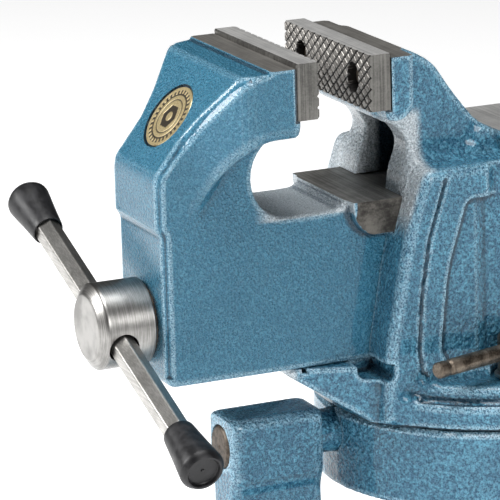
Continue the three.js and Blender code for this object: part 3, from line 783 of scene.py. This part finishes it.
def moving_finish(centre, normal):
    """0 enamel, 1 milled strip on top, 2 slide, 3 rail side, 4 near-black painted shade: the badge
    pocket's wall and the faces where the plate sits.
    """
    x, y, z = centre.T
    number = np.zeros(len(centre))
    number[(z > cast_top - 0.5) & (normal[:, 2] > 0.9)] = 1
    radial, height = from_badge(x, y, z)
    # Painted shade in the badge pocket's wall.
    number[(radial < badge_pocket + 0.8) & (height < 1.3) & (y < badge_rear)] = 4
    # Painted shade on the faces where the plate sits.
    number[(y > moving_seat - 1.2) & (z > plate_bottom - 1) & (normal[:, 2] < 0.9)] = 4
    number[(y > rail_front - 2.5) & (z > slide_top - 0.5) & (normal[:, 2] > 0.8)] = 2
    number[(y > rail_front + 2) & (np.abs(x) > rail_half - 0.6) & (np.abs(normal[:, 0]) > 0.8)] = 3
    return number


def moving_pale_floor(x, y, z):
    """Pale grey on the throat's floor, fading up its sides."""
    forward = ease(y, moving_seat - 20, moving_seat - 4) * (y < rail_front + 1)
    level = ease(z, slide_top + 14, slide_top + 4) * ease(z, slide_top - 8.5, slide_top - 6.5)
    return forward * level


def badge_unhighlit(x, y, z):
    """Where the enamel stays blue up to the badge's pocket, with no painted edge highlight."""
    return (from_badge(x, y, z)[0] < badge_pocket + 4.4) & (y < badge_rear)


moving_casting = casting(
    "moving_jaw_casting", moving_field, (-jaw_half, head_front, beam_bottom),
    (jaw_half, beam_rear, cast_top), 1.6, "moving_jaw", "moving_jaw_body", moving_pale_floor, badge_unhighlit)
finish_faces(moving_casting, [fine_paint, strip_iron, slide_iron, rail_iron, shade_and_grease], moving_finish)

# ---- Fixed jaw casting ----
housing_side = Outline([
    (web_front - 28.5, flange_bottom + 3), (web_front - 27.6, flange_bottom + 23, 8),
    (web_front - 25.6, flange_bottom + 52, 10), (web_front - 21.8, flange_bottom + 71, 10),
    (web_front - 16.3, flange_bottom + 102, 10), (web_front - 10.3, flange_bottom + 127, 8),
    (web_front - 4.5, flange_bottom + 146, 8), (web_front + 1, shoulder_top, 9),
    (housing_rear - 5, shoulder_top, 7), (housing_rear + 4, shoulder_top - 20, 9),
    (housing_rear, flange_bottom + 3),
])
pillar_side = Outline([
    (fixed_seat - 3, cast_top + 4), (fixed_seat - 3, plate_bottom - 8, 4),
    (fixed_seat + 5, plate_bottom - 13, 5), (fixed_seat + 13, plate_bottom - 16, 6),
    (web_front + 1, plate_bottom - 25, 8), (web_front + 2.5, plate_bottom - 38, 8),
    (web_front + 3, shoulder_top - 12, 4), (-20, shoulder_top - 12), (-20, anvil_top, 3),
    (-45.3, jaw_top - 33, 14), (-57, jaw_top - 15, 12), (-68, jaw_top - 8, 8),
    (fixed_seat + 17, cast_top + 0.5, 6), (fixed_seat + 14, cast_top + 4),
])
seat_side = Outline([
    (fixed_seat - 3, cast_top + 4), (fixed_seat - 3, plate_bottom - 7, 5),
    (fixed_seat + 6, plate_bottom - 9, 7), (fixed_seat + 15.6, plate_bottom - 2, 7),
    (fixed_seat + 15.6, cast_top - 1, 2), (fixed_seat + 13, cast_top + 4),
])
anvil_side = Outline([
    (-30, shoulder_top - 10), (-24, anvil_top, 3), (anvil_rear, anvil_top, 3),
    (anvil_rear + 5, shoulder_top - 10),
])
nose_side = Outline([
    (-rim_radius + 8, flange_bottom), (fixed_grip - 46, beam_bottom - 5, 2),
    (fixed_grip - 49, beam_bottom - 1, 1), (fixed_grip - 49, beam_bottom - gap),
    (nose_root, beam_bottom - gap), (nose_root, flange_bottom),
])
nose_plan = Outline([
    (-30, fixed_grip - 49.5), (beam_half - 4, fixed_grip - 49.5, 5), (beam_half, fixed_grip - 39, 6),
    (nose_shoulder, fixed_grip + 6, 12), (nose_shoulder + 10, nose_root), (-30, nose_root),
])
panel_side = Outline([
    (web_front + 30, shoulder_top - 21, 5), (web_front + 16, shoulder_top - 64, 12),
    (web_front + 10.4, pad_top + 20.7, 12), (web_front + 15, pad_top + 12, 4),
    (web_front + 19, pad_top + 5, 4), (housing_rear - 14, pad_top + 5, 6),
    (housing_rear - 12, shoulder_top - 19, 6),
])
front_groove = np.array([
    (web_front + 15, shoulder_top - 7), (web_front + 3.3, shoulder_top - 43),
    (web_front - 2.5, shoulder_top - 78), (web_front - 4.9, pad_top + 23),
    (web_front - 3.1, pad_top + 8), (web_front + 2, pad_top + 3),
])


def fixed_field(x, y, z):
    """Housing, pillar, jaw seat, anvil, round flange and nose joined by fillets.

    The way for the beam, the recess between the webs, the panels and grooves are then cut out.
    """
    wide = np.abs(x)
    body = trim(housing_side(y, z), wide - housing_half, 7)
    anvil = trim(anvil_side(y, z), wide - anvil_half, 3)
    body = blend(body, anvil, 7)
    outline = pillar_side(y, z)
    pillar = trim(outline, wide - pillar_half, 4)
    lip = np.maximum(np.hypot(outline, wide - pillar_half + 3) - 0.9, -66 - y)
    pillar = cut(pillar, lip, 0.8)
    body = blend(body, pillar, 17)
    body = blend(body, trim(seat_side(y, z), wide - jaw_half, 4), 5)
    panel_deep = 2.6 + 3.4 * ease(y, clamp_y - 22, clamp_y - 12)
    panel = trim(panel_side(y, z), housing_half - panel_deep - wide, 2)
    body = cut(body, panel, 2)
    line = to_sides(y, z, front_groove, closed=False)
    body = cut(body, np.hypot(line, wide - housing_half) - 1.2, 1)
    radius = np.hypot(x, y)
    rim = trim(radius - rim_radius, slab(z, flange_bottom, flange_bottom + 16.5), 4.5)
    pad = trim(radius - pad_radius + 1, slab(z, flange_bottom + 1, pad_top), 5)
    floor = cut(blend(rim, pad, 2), np.hypot(radius - 109.5, z - flange_bottom - 17.5) - 2.6, 1.5)
    body = blend(body, floor, 9)
    nose = trim(nose_side(y, z), nose_plan(wide, y), 2.5)
    body = blend(body, nose, 5)
    body = np.maximum(body, flange_bottom - z)
    slot_y = np.maximum(np.abs(y - fixed_grip - 3) - 3, 0)
    slot = np.hypot(slot_y, np.maximum(beam_bottom - 3 - z, 0)) - 6
    body = cut(body, np.maximum(slot, np.maximum(31 - wide, z - beam_bottom - 3)), 1)
    notch = np.maximum(slab(y, fixed_grip - 38.5, fixed_grip - 35.5), beam_bottom - 3 - z)
    body = cut(body, np.maximum(notch, 30 - wide), 0.5)
    way = np.maximum(wide - beam_half - gap, beam_bottom - gap - z)
    rails = np.maximum(wide - rail_half - gap, rail_bottom - gap - z)
    way = np.maximum(np.minimum(way, rails), z - slide_top - gap)
    body = np.maximum(body, -way)
    between = slab(z, slide_top - 9, plate_bottom - 14)
    recess = trim(wide - 20, trim(y - fixed_grip - 62, between, 6), 6)
    body = cut(body, recess, 3)
    seat = np.maximum(y - fixed_seat, plate_bottom - fit - z)
    body = np.maximum(body, -seat)
    body = np.maximum(body, -np.maximum(cast_top - z, y - fixed_seat - 30))
    post = np.hypot(wide - clamp_x, y - clamp_y)
    body = cut(body, np.maximum(post - 16, pad_top - z), 1)
    return np.maximum(body, -np.maximum(post - 6.6, flange_bottom - 1 - z))


def fixed_finish(centre, normal):
    """0 enamel, 1 milled strip on top, 2 anvil face, 3 inside of the way, 4 near-black blue: grease and
    painted shade in the recess, painted shade on the flange's foot and where the plate sits.
    """
    x, y, z = centre.T
    wide = np.abs(x)
    number = np.zeros(len(centre))
    # Grease and painted shade in the recess between the webs.
    number[(wide < 20.6) & (z > slide_top - 8) & (z < plate_bottom - 10) & (y < -48)] = 4
    number[(z > cast_top - 0.5) & (normal[:, 2] > 0.9)] = 1
    number[(z > anvil_top - 0.7) & (z < anvil_top + 1) & (normal[:, 2] > 0.9) & (y > -19)] = 2
    # A painted shadow line round the flange's foot, above the drum.
    number[z < flange_bottom + 2.1] = 4
    # Painted shade on the faces where the plate sits.
    number[(y < fixed_seat + 1) & (z > plate_bottom - 1) & (normal[:, 2] < 0.9)] = 4
    inside = (wide < rail_half + 0.6) & (y > fixed_grip + 1) & (normal[:, 1] < 0.45)
    inside &= (z > beam_bottom - 1) & (z < slide_top + 1)
    number[inside & (normal[:, 1] > -0.45)] = 3
    return number


def fixed_worn(x, y, z):
    """Thin enamel on the webs' front faces above the rails, and on the nose's tip."""
    front = ease(y, fixed_grip + 46, fixed_grip + 40) * ease(z, slide_top - 25, slide_top - 4)
    front *= ease(z, plate_bottom - 4, plate_bottom - 12)
    front *= ease(np.abs(x), housing_half - 1, housing_half - 6)
    return np.maximum(front, ease(y, fixed_grip - 40, fixed_grip - 44))


fixed_casting = casting(
    "fixed_jaw_casting", fixed_field, (-rim_radius, fixed_grip - 50, flange_bottom),
    (rim_radius, rim_radius, cast_top), 1.8, "fixed_jaw", "fixed_jaw_body", fixed_worn)
finish_faces(fixed_casting, [paint, strip_iron, anvil_and_top_highlight_iron, rail_iron, shade_and_grease], fixed_finish)


# ---- Tilt table and foot ----
def table_field(x, y, z):
    """A round drum with a bevelled top edge, a cored underside and a socket for each trunnion."""
    radius = np.hypot(x, y)
    drum = trim(radius - rim_radius, slab(z, table_low[2], table_high[2]), 3)
    drum = np.maximum(drum, (radius - rim_radius + z - table_high[2] + 2.4) * HALF_SQUARE)
    drum = cut(drum, trim(radius - 56, z - table_high[2] + 24, 5), 3)
    socket = np.maximum(np.hypot(x, z - tilt_z) - pin_radius - fit, rim_radius - 16 - np.abs(y))
    return cut(drum, socket, 1)


foot_x, foot_y = foot_high[0], foot_high[1]
upright_near = rim_radius + 13
upright_far = upright_near + 64
upright_half = 20.5
boss_top = foot_high[2]
foot_thick = 16
slot_x, slot_y, slot_radius = 78, 160, 7.5
leg_front = Outline([
    (-54, -4), (54, -4), (54, 15, 3), (34, 38, 22), (17.5, 94, 18), (15.5, 108, 8),
    (upright_half, 121, 5), (upright_half, boss_top + 6), (-upright_half, boss_top + 6),
    (-upright_half, 121, 5), (-15.5, 108, 8), (-17.5, 94, 18), (-34, 38, 22), (-54, 15, 3),
])
boss_front = Outline([
    (-upright_half, 60), (upright_half, 60),
    (upright_half, boss_top, 11), (-upright_half, boss_top, 11),
])


def foot_field(x, y, z):
    """A plate with cut corners and four slots, and a waisted upright with a bored boss at each end.

    The rear upright is tapped across for the tilt lock.
    """
    wide, long = np.abs(x), np.abs(y)
    corner = (wide - foot_x + long - foot_y + 24) * HALF_SQUARE
    plate = trim(trim(wide - foot_x, long - foot_y, 4), corner, 6)
    plate = trim(plate, slab(z, 0, foot_thick), 3)
    slot = np.hypot(np.maximum(np.abs(wide - slot_x) - slot_radius, 0), long - slot_y) - slot_radius
    plate = cut(plate, slot, 1)
    depth = slab(long, upright_near, upright_far)
    leg = trim(trim(leg_front(x, z), depth, 8), trim(boss_front(x, z), -50 - z, 1), 4)
    spread = trim(leg_front(x, z), depth, 8)
    spread = np.maximum(spread, z - 118)
    body = blend(plate, np.minimum(leg, spread), 10)
    body = trim(body, z - boss_top, 7)
    body = np.maximum(body, -z)
    bore = np.hypot(x, z - tilt_z) - pin_radius - gap
    body = cut(body, np.maximum(bore, upright_near - 2 - long), 1.2)
    tap = np.hypot(y - (upright_near + upright_far) / 2, z - tilt_z) - 6.3
    return np.maximum(body, -np.maximum(tap, -x))


tilt_casting = casting(
    "tilt_table_casting", table_field, table_low, table_high, 2.0, "tilting_table", "tilt_table")
tilt_casting.data.materials.append(paint)


def foot_top_highlight(x, y, z):
    """Pale grey where the outer part of each upright's top is ground flat: part thin enamel, part a
    painted highlight.
    """
    return ease(z, boss_top - 2, boss_top - 0.4) * ease(np.abs(y), upright_far - 44, upright_far - 34)


# The foot's pale top is partly a painted highlight.
foot_casting = casting(
    "foot_casting", foot_field, foot_low, foot_high, 2.2, "foot", "foot_bracket", foot_top_highlight)
foot_casting.data.materials.append(paint)

# ---- Jaw plates ----
DIAMOND_WIDE, DIAMOND_TALL = 8.9, 7.1
GROOVE_HALF, GROOVE_DEEP = 0.85, 1.3
HOLE_DEEP = 8.0
CHAMFER = 0.9


def grip_depth(x, z):
    """Depth below the grip face: two slanting sets of grooves, and two oblong counterbores.

    A set's phase is x over the diamond's width plus or minus z over its height; a groove's depth
    falls evenly from its middle to its edge.
    """
    lean = math.hypot(1 / DIAMOND_WIDE, 1 / DIAMOND_TALL)
    grooves = 0
    for sign in (-1, 1):
        phase = x / DIAMOND_WIDE + sign * (z - jaw_top) / DIAMOND_TALL
        away = np.abs((phase + 0.5) % 1 - 0.5) / lean
        grooves = np.maximum(grooves, np.clip(1 - away / GROOVE_HALF, 0, 1))
    hole = np.hypot(np.abs(x) - screw_x, np.maximum(np.abs(z - screw_z) - 2.2, 0)) - 7.2
    # The second value marks where shade is painted: the grooves, and the counterbores with a small
    # margin.
    return np.where(hole < 0, HOLE_DEEP, GROOVE_DEEP * grooves), np.where(hole < 0.2, 1.0, grooves)


def jaw_plate(name, node, grip, facing, body):
    """A closed loop of rows round the plate: the checkered face, top, bevelled back and bottom."""
    columns, rows = 300, 84
    x = np.linspace(-jaw_half, jaw_half, columns)[None, :]
    z = np.linspace(plate_bottom, jaw_top, rows)[:, None]
    deep, groove = grip_depth(x, z)
    full = np.ones((1, columns))
    inner = x * (jaw_half - CHAMFER) / jaw_half
    thick = plate_high[1] - plate_low[1]
    across = np.concatenate([x + 0 * z, x * full, inner * full, inner * full, x * full])
    back = (thick - CHAMFER, thick, thick, thick - CHAMFER)
    heights = (jaw_top, jaw_top - CHAMFER, plate_bottom + CHAMFER, plate_bottom)
    depth = np.concatenate([deep, *(full * d for d in back)])
    level = np.concatenate([z + 0 * x, *(full * h for h in heights)])
    points = np.stack([across, grip + facing * depth, level], -1)
    loop = len(points)
    faces = [*map(tuple, grid_faces(loop, columns, wrap_rows=True))]
    for first in (0, columns - 1):
        ring = [first + columns * k for k in range(loop)]
        faces.append((*ring[:rows + 1], ring[-1]))
        faces.append(tuple(ring[rows:]))
    thing = piece(name, points.reshape(-1, 3), faces, body, [node], "ground_steel")
    # The groove value marks where the material paints shade.
    store(thing, "groove", np.concatenate([groove, np.zeros((4, columns))]))
    outward(thing)

    def plate_finish(centre, normal):
        """0 the checkered face, 1 the ground ends and back, 2 the top, in a paler iron as a painted
        highlight.
        """
        away = facing * (centre[:, 1] - grip) > HOLE_DEEP + 1
        edge = (np.abs(centre[:, 0]) > jaw_half - 0.01) | (centre[:, 2] < plate_bottom + 0.01)
        # The top takes the pale iron as a painted highlight.
        return np.where(centre[:, 2] > jaw_top - 0.01, 2.0, (away | edge).astype(float))

    finish_faces(thing, [grip_steel, end_steel, anvil_and_top_highlight_iron], plate_finish)


jaw_plate("fixed_plate", "fixed_jaw_plate", fixed_grip, 1, "fixed_jaw")
jaw_plate("moving_plate", "moving_jaw_plate", moving_grip, -1, "moving_jaw")


def plate_screw(jaw, label, side, grip, facing):
    """A socket screw's head, sunk 5 mm in its counterbore; facing is the way from the grip inwards."""
    points, faces = turned([(0.01, 8.4), (2.6, 8.4), (2.6, 5.4), (3.0, 5), (5.8, 5), (6.6, 5.8),
                            (6.6, 11.4), (0.01, 11.4)], 48)
    points = placed(points * (1, facing, 1), None, (side * screw_x, grip, screw_z))
    fitting(f"{jaw}_screw_{label}", (points, faces), jaw + "_jaw", f"{jaw}_plate_screw_{label}",
            "dark_steel", brown_steel)


for side, label in ((-1, "left"), (1, "right")):
    plate_screw("fixed", label, side, fixed_grip, 1)
    plate_screw("moving", label, side, moving_grip, -1)

# ---- Spindle and tommy bar ----
head_low, head_high = span("spindle")
head_radius = (head_high[0] - head_low[0]) / 2
head_length = 36.6
thread_lead = 6
thread_deep = 2.2
bar_centre = np.array([0, middle("tommy_bar")[1], spindle_z])
bar_frame = about("Y", bar_tilt)
bar_across = 15


def spindle_head():
    """The head is turned with a broad front bevel, then bored across for the bar."""
    centre = (0, head_low[1], spindle_z)
    r, end = head_radius, head_length
    profile = [(0.01, 0.3), (4, 0.15), (r - 7.5, 0), (r - 6.6, 0.2), (r - 0.6, 4.2), (r, 5.2),
               (r, end - 1), (r - 1, end), (0.01, end)]
    points, faces = turned(profile, 128, 1.6)
    drill, drill_faces = turned([(9.9, -60), (9.9, 60)], 64, 6)
    drill = placed(drill, bar_frame @ about("Z", math.pi / 2), bar_centre)
    fitting("spindle_head", (placed(points, None, centre), faces), "screw", "spindle",
            "bright_steel", head_steel, (drill, drill_faces))


def spindle_shaft():
    """A shaft with a thread: its radius is a flat-topped wave of length over the lead less the turn."""
    start, stop, sides = head_low[1] + head_length - 0.5, head_high[1], 48
    y = np.arange(start, stop, 0.75)[:, None]
    angle = np.linspace(0, 2 * np.pi, sides, endpoint=False)[None, :]
    wave = np.abs(((y / thread_lead - angle / (2 * np.pi)) % 1) * 2 - 1)
    cutting = np.clip((0.62 - wave) / 0.22, 0, 1) * np.clip((y - start - 60) / 3, 0, 1)
    taper = np.clip((stop - y) / 3, 0.6, 1)
    radius = (spindle_radius - thread_deep * cutting) * taper
    points = np.stack([radius * np.cos(angle), y + 0 * angle, radius * np.sin(angle)], -1)
    points = placed(points.reshape(-1, 3), None, (0, 0, spindle_z))
    fitting("spindle_thread", (points, tube_faces(len(y), sides)), "screw", "spindle",
            "bright_steel", bar_steel)


spindle_head()
spindle_shaft()

bar_low, bar_high = span("tommy_bar")
bar_length = (bar_high[0] - bar_low[0]) / math.cos(bar_tilt) - bar_across * math.tan(bar_tilt)
bar_shift = (bar_high[0] + bar_low[0]) / 2 / math.cos(bar_tilt)
cap_grip = 34


def along_bar(points):
    """Points made about +Y, put on the tommy bar's axis with +Y along it."""
    return placed(points, bar_frame @ about("Z", -math.pi / 2), bar_centre)


def tommy_bar():
    """A six-sided section with softly rounded corners, carried along the bar."""
    corner = bar_across / math.sqrt(3)
    spin = np.radians(np.arange(6) * 60)
    ring = rounded([(corner * math.sin(a), corner * math.cos(a), 1.1) for a in spin], 5)
    half = bar_length / 2
    y = np.concatenate([[-half, -half + 0.8], np.linspace(-half + 8, half - 8, 40), [half - 0.8, half]])
    scale = np.ones((len(y), 1))
    scale[[0, -1]] = 0.9
    along = y[:, None] + bar_shift + 0 * ring[:, 0]
    points = np.stack([ring[:, 0] * scale, along, ring[:, 1] * scale], -1)
    fitting("tommy_bar_rod", (along_bar(points.reshape(-1, 3)), tube_faces(len(y), len(ring))), "handle",
            "tommy_bar", "bright_steel", bar_steel)


def tommy_cap(label, side):
    """A flared cap: a cone from 20 to 28 mm with a bevelled rim, a sunk end face and a small nib."""
    profile = [
        (7.4, 2.6), (8.6, 2.2), (9.0, 0.6), (9.3, 0), (9.9, 0.2), (10.2, 1.2), (10.6, 5), (11.3, 12),
        (12.2, 20), (13.3, 29), (14.0, 35), (13.8, 36.8), (12.2, 39.3), (11.4, 40), (10.5, 40),
        (9.9, 39.3), (9.7, 38.0), (9.1, 37.4), (1.2, 37.2), (0.9, 37.8), (0.01, 38.0),
    ]
    points, faces = turned(profile, 80)
    points[:, 1] = (points[:, 1] + bar_length / 2 - cap_grip) * side + bar_shift
    fitting("tommy_cap_" + label, (along_bar(points), faces), "handle", "tommy_bar_cap_" + label,
            "black_plastic", cap_plastic)


tommy_bar()
tommy_cap("left", -1)
tommy_cap("right", 1)


# ---- Badge ----
def badge():
    """A disc of rings: a raised border, a ring of ticks and a six-sided centre, inked where low.

    Ink is 1 where the tick wave is high within its ring, on two thin circles and inside the hexagon.
    """
    sides, thick = 180, 1.6
    radii = np.concatenate([[0.01], np.linspace(0.8, 20.4, 46), [20.9, 21.1]])
    angle = np.linspace(0, 2 * np.pi, sides, endpoint=False)
    r, a = np.meshgrid(radii, angle, indexing="ij")
    ticks = (np.abs(((a * 30 / (2 * np.pi)) % 1) - 0.5) < 0.24) & (r > 16.2) & (r < 18.8)
    circle = (np.abs(r - 15.6) < 0.75) | (np.abs(r - 11.8) < 0.35)
    hexagon = r * np.cos((a % (np.pi / 3)) - np.pi / 6) < 7.4
    bolt = r < 3.4
    ink = ticks | circle | (hexagon & ~bolt)
    height = np.where(ink, -0.25, 0.0) - np.where(r > 21, 0.3, 0)
    u, v = r * np.cos(a), r * np.sin(a)
    up = np.array([0, -slope_run[0], -slope_run[1]])
    out = np.array([0, slope_out[0], slope_out[1]])
    across = np.array([1.0, 0, 0])
    top = badge_place + u[..., None] * across + v[..., None] * up + (height[..., None] + thick / 2) * out
    rim = top[-1] - thick * out
    points = np.concatenate([top.reshape(-1, 3), rim])
    faces = tube_faces(len(radii) + 1, sides)
    thing = piece("badge_disc", points, faces, "moving_jaw", ["badge_plate"], "brass_plate")
    store(thing, "ink", np.concatenate([ink.ravel(), np.zeros(sides)]))
    outward(thing)
    thing.data.materials.append(brass)


badge()


# ---- Swivel clamps and tilt lock ----
def swaged(length):
    """A round bar with a neck pressed in near each end, turned about +Y."""
    r, half = lock_bar_radius, length / 2
    end = [(0.01, 0), (r - 1.2, 0), (r - 0.2, 0.8), (r, 2.2), (r, 6.6), (r - 0.9, 7.6), (r - 1.0, 9.0),
           (r - 0.2, 10.2), (r, 11.6)]
    return turned([(r, y - half) for r, y in end] + [(r, half - y) for r, y in end[::-1]], 56)


def bar_drill(turn, place):
    """A drill along +Y for a lock bar's hole, turned and put in place."""
    points, faces = turned([(lock_bar_bore, -20), (lock_bar_bore, 20)], 48, 4)
    return placed(points, turn, place), faces


def clamp(side, label):
    """Hub nut bored for its bar, the bar and a washer, turned about the clamp's own post."""
    post = np.array([side * clamp_x, clamp_y, 0])
    spin = about("Z", side * clamp_turn)
    upright = about("X", math.pi / 2)
    low, high = span("clamp_nut_" + label)
    bottom, top = low[2], high[2]
    hub = [(0.01, bottom), (10.6, bottom), (11.5, bottom + 0.9), (11.5, top - 3.4), (11.0, top - 2.4),
           (8.5, top - 0.3), (7.6, top), (0.01, top)]
    points, faces = turned(hub, 72, 1.8)
    bar_place = post + (0, 0, middle("clamp_bar_" + label)[2])
    fitting("clamp_hub_" + label, (placed(points, upright, post), faces), "clamp_" + label,
            "clamp_nut_" + label, "dark_steel", brown_steel, bar_drill(spin, bar_place))
    points, faces = swaged(clamp_bar_length)
    points = placed(points - (0, clamp_bar_shift, 0), spin, bar_place)
    fitting("clamp_handle_" + label, (points, faces), f"clamp_{label}_handle", "clamp_bar_" + label,
            "dark_steel", brown_steel)
    low, high = span("clamp_washer_" + label)
    bottom, top = low[2], high[2]
    ring = [(6.6, bottom), (13, bottom), (13.5, bottom + 0.5), (13.5, top - 0.5), (13, top), (6.6, top)]
    sides = 72
    points = turned(ring, sides)[0]
    faces = grid_faces(len(ring), sides, wrap_rows=True, wrap_columns=True)
    fitting("clamp_ring_" + label, (placed(points, upright, post), faces), "fixed_jaw",
            "clamp_washer_" + label, "ground_steel", bar_steel)


for side, label in ((-1, "left"), (1, "right")):
    clamp(side, label)


def tilt_lock():
    """A screw head bored for its sliding bar, on the rear upright's side."""
    low, high = span("tilt_lock_screw")
    end, tip = high[0], low[0]
    y, z = middle("tilt_lock_screw")[1:]
    bar_x, bar_y = middle("tilt_lock_bar")[:2]
    head_start = end - 20
    screw = [(0.01, tip), (6, tip), (6, head_start), (10.2, head_start), (11, head_start + 0.8),
             (11, end - 2.6), (8.6, end - 0.2), (0.01, end)]
    points, faces = turned(screw, 72, 1.8)
    points = placed(points, about("Z", -math.pi / 2), (0, y, z))
    fitting("tilt_screw", (points, faces), "tilt_lock", "tilt_lock_screw",
            "dark_steel", brown_steel, bar_drill(None, (bar_x, y, z)))
    points, faces = swaged(tilt_bar_length)
    fitting("tilt_handle", (placed(points, None, (bar_x, bar_y, z)), faces), "tilt_lock_handle",
            "tilt_lock_bar", "dark_steel", brown_steel)


tilt_lock()


def trunnion(label, side):
    """A pin from the table out to the upright's face, with a bevelled and centre-drilled outer end.

    Two rings close together mark where its painted shoulder stops.
    """
    low, high = span("trunnion_pin_" + label)
    length = high[1] - low[1]
    start = low[1] if side > 0 else high[1]
    r, reach = pin_radius, upright_near - side * start
    profile = [(0.01, 0), (r - 1, 0), (r, 1), (r, reach - 0.8), (r, reach - 0.6), (r, length - 2.2),
               (r - 0.4, length - 1.4), (r - 1.8, length - 0.2), (r - 2.6, length), (1.5, length - 0.3),
               (0.01, length - 1.6)]
    points, faces = turned(profile, 80)
    points = placed(points * (1, side, 1), None, (0, start, tilt_z))
    thing = piece("trunnion_" + label, points, faces, "tilting_table", ["trunnion_pin_" + label],
                  "ground_steel")
    outward(thing)

    def collar(centre, normal):
        """0 the pin, 1 its painted shoulder between the table and the upright."""
        return ((np.abs(centre[:, 1]) < upright_near - 0.6) & (np.abs(normal[:, 1]) < 0.5)).astype(float)

    finish_faces(thing, [pin_iron, paint], collar)


trunnion("front", -1)
trunnion("rear", 1)

# ---- Hidden pieces keep their CAD shape ----
for node in ("collar_pin", "spindle_collar", "spindle_nut", "spindle_nut_bolt", "clamp_bolt_left",
             "clamp_bolt_right", "thrust_washer_front", "thrust_washer_rear", "swivel_pivot_pin"):
    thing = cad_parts[node]
    thing.data.materials.clear()
    thing.data.materials.append(brown_steel)


# ---- Floor, light and camera ----
def floor():
    """A pale square sheet under the foot."""
    mesh = bpy.data.meshes.new("floor")
    reach = 14.0
    corners = [(-reach, -reach, 0), (reach, -reach, 0), (reach, reach, 0), (-reach, reach, 0)]
    mesh.from_pydata(corners, [], [(0, 1, 2, 3)])
    thing = bpy.data.objects.new("floor", mesh)
    bpy.context.scene.collection.objects.link(thing)
    box = Paintbox("floor_pale")
    colour = box.mix(box.noise(3, 2, 0.5), rgb(0.86, 0.86, 0.86), rgb(0.90, 0.90, 0.90))
    mesh.materials.append(box.set(
        Base_Color=colour, Roughness=0.9, Emission_Color=rgb(1.0, 1.0, 1.0), Emission_Strength=0.50))


def softbox(name, place, target, size, power):
    """A square area light that faces a point."""
    light = bpy.data.lights.new(name, "AREA")
    light.size = size
    light.energy = power
    thing = bpy.data.objects.new(name, light)
    thing.location = place
    thing.rotation_euler = (Vector(target) - Vector(place)).to_track_quat("-Z", "Y").to_euler()
    bpy.context.scene.collection.objects.link(thing)


floor()
aim = (0, -0.1, 0.25)
softbox("front_box", (-0.9, -2.5, 1.5), aim, 1.0, 74)
softbox("top_box", (0.3, -0.3, 2.6), aim, 1.4, 52)
softbox("side_box", (2.5, 0.1, 1.3), aim, 0.9, 26)


def studio_air(name):
    """Air that is bright overhead and dim towards the horizon, as a ramp over the direction's height."""
    world = bpy.data.worlds.new(name)
    world.use_nodes = True
    tree = world.node_tree
    way = tree.nodes.new("ShaderNodeTexCoord")
    part = tree.nodes.new("ShaderNodeSeparateXYZ")
    ramp = tree.nodes.new("ShaderNodeMapRange")
    ramp.interpolation_type = "SMOOTHSTEP"
    tree.links.new(way.outputs["Generated"], part.inputs[0])
    tree.links.new(part.outputs["Z"], ramp.inputs["Value"])
    for key, value in (("From Min", 0.0), ("From Max", 0.42), ("To Min", 0.18), ("To Max", 0.88)):
        ramp.inputs[key].default_value = value
    tree.links.new(ramp.outputs["Result"], tree.nodes["Background"].inputs["Strength"])
    return world


bpy.context.scene.world = studio_air("studio")
bpy.context.scene.view_settings.view_transform = "Standard"

CAMERA_AZIMUTH, CAMERA_ELEVATION, CAMERA_ROLL = map(math.radians, (66.37, 14.79, 1.624))
CAMERA_DISTANCE = 2.5
CAMERA_TARGET = Vector((0, -0.1678, 0.2654))
CAMERA_LENS = 287.4
camera_data = bpy.data.cameras.new("camera")
camera_data.lens = CAMERA_LENS
camera_data.clip_end = 60
camera = bpy.data.objects.new("camera", camera_data)
back = Vector((
    math.sin(CAMERA_AZIMUTH) * math.cos(CAMERA_ELEVATION),
    -math.cos(CAMERA_AZIMUTH) * math.cos(CAMERA_ELEVATION),
    math.sin(CAMERA_ELEVATION),
))
level = Vector((math.cos(CAMERA_AZIMUTH), math.sin(CAMERA_AZIMUTH), 0))
above = back.cross(level)
right = level * math.cos(CAMERA_ROLL) - above * math.sin(CAMERA_ROLL)
up = level * math.sin(CAMERA_ROLL) + above * math.cos(CAMERA_ROLL)
camera.rotation_euler = Matrix((right, up, back)).transposed().to_euler()
camera.location = CAMERA_TARGET + back * CAMERA_DISTANCE
bpy.context.scene.collection.objects.link(camera)
bpy.context.scene.camera = camera
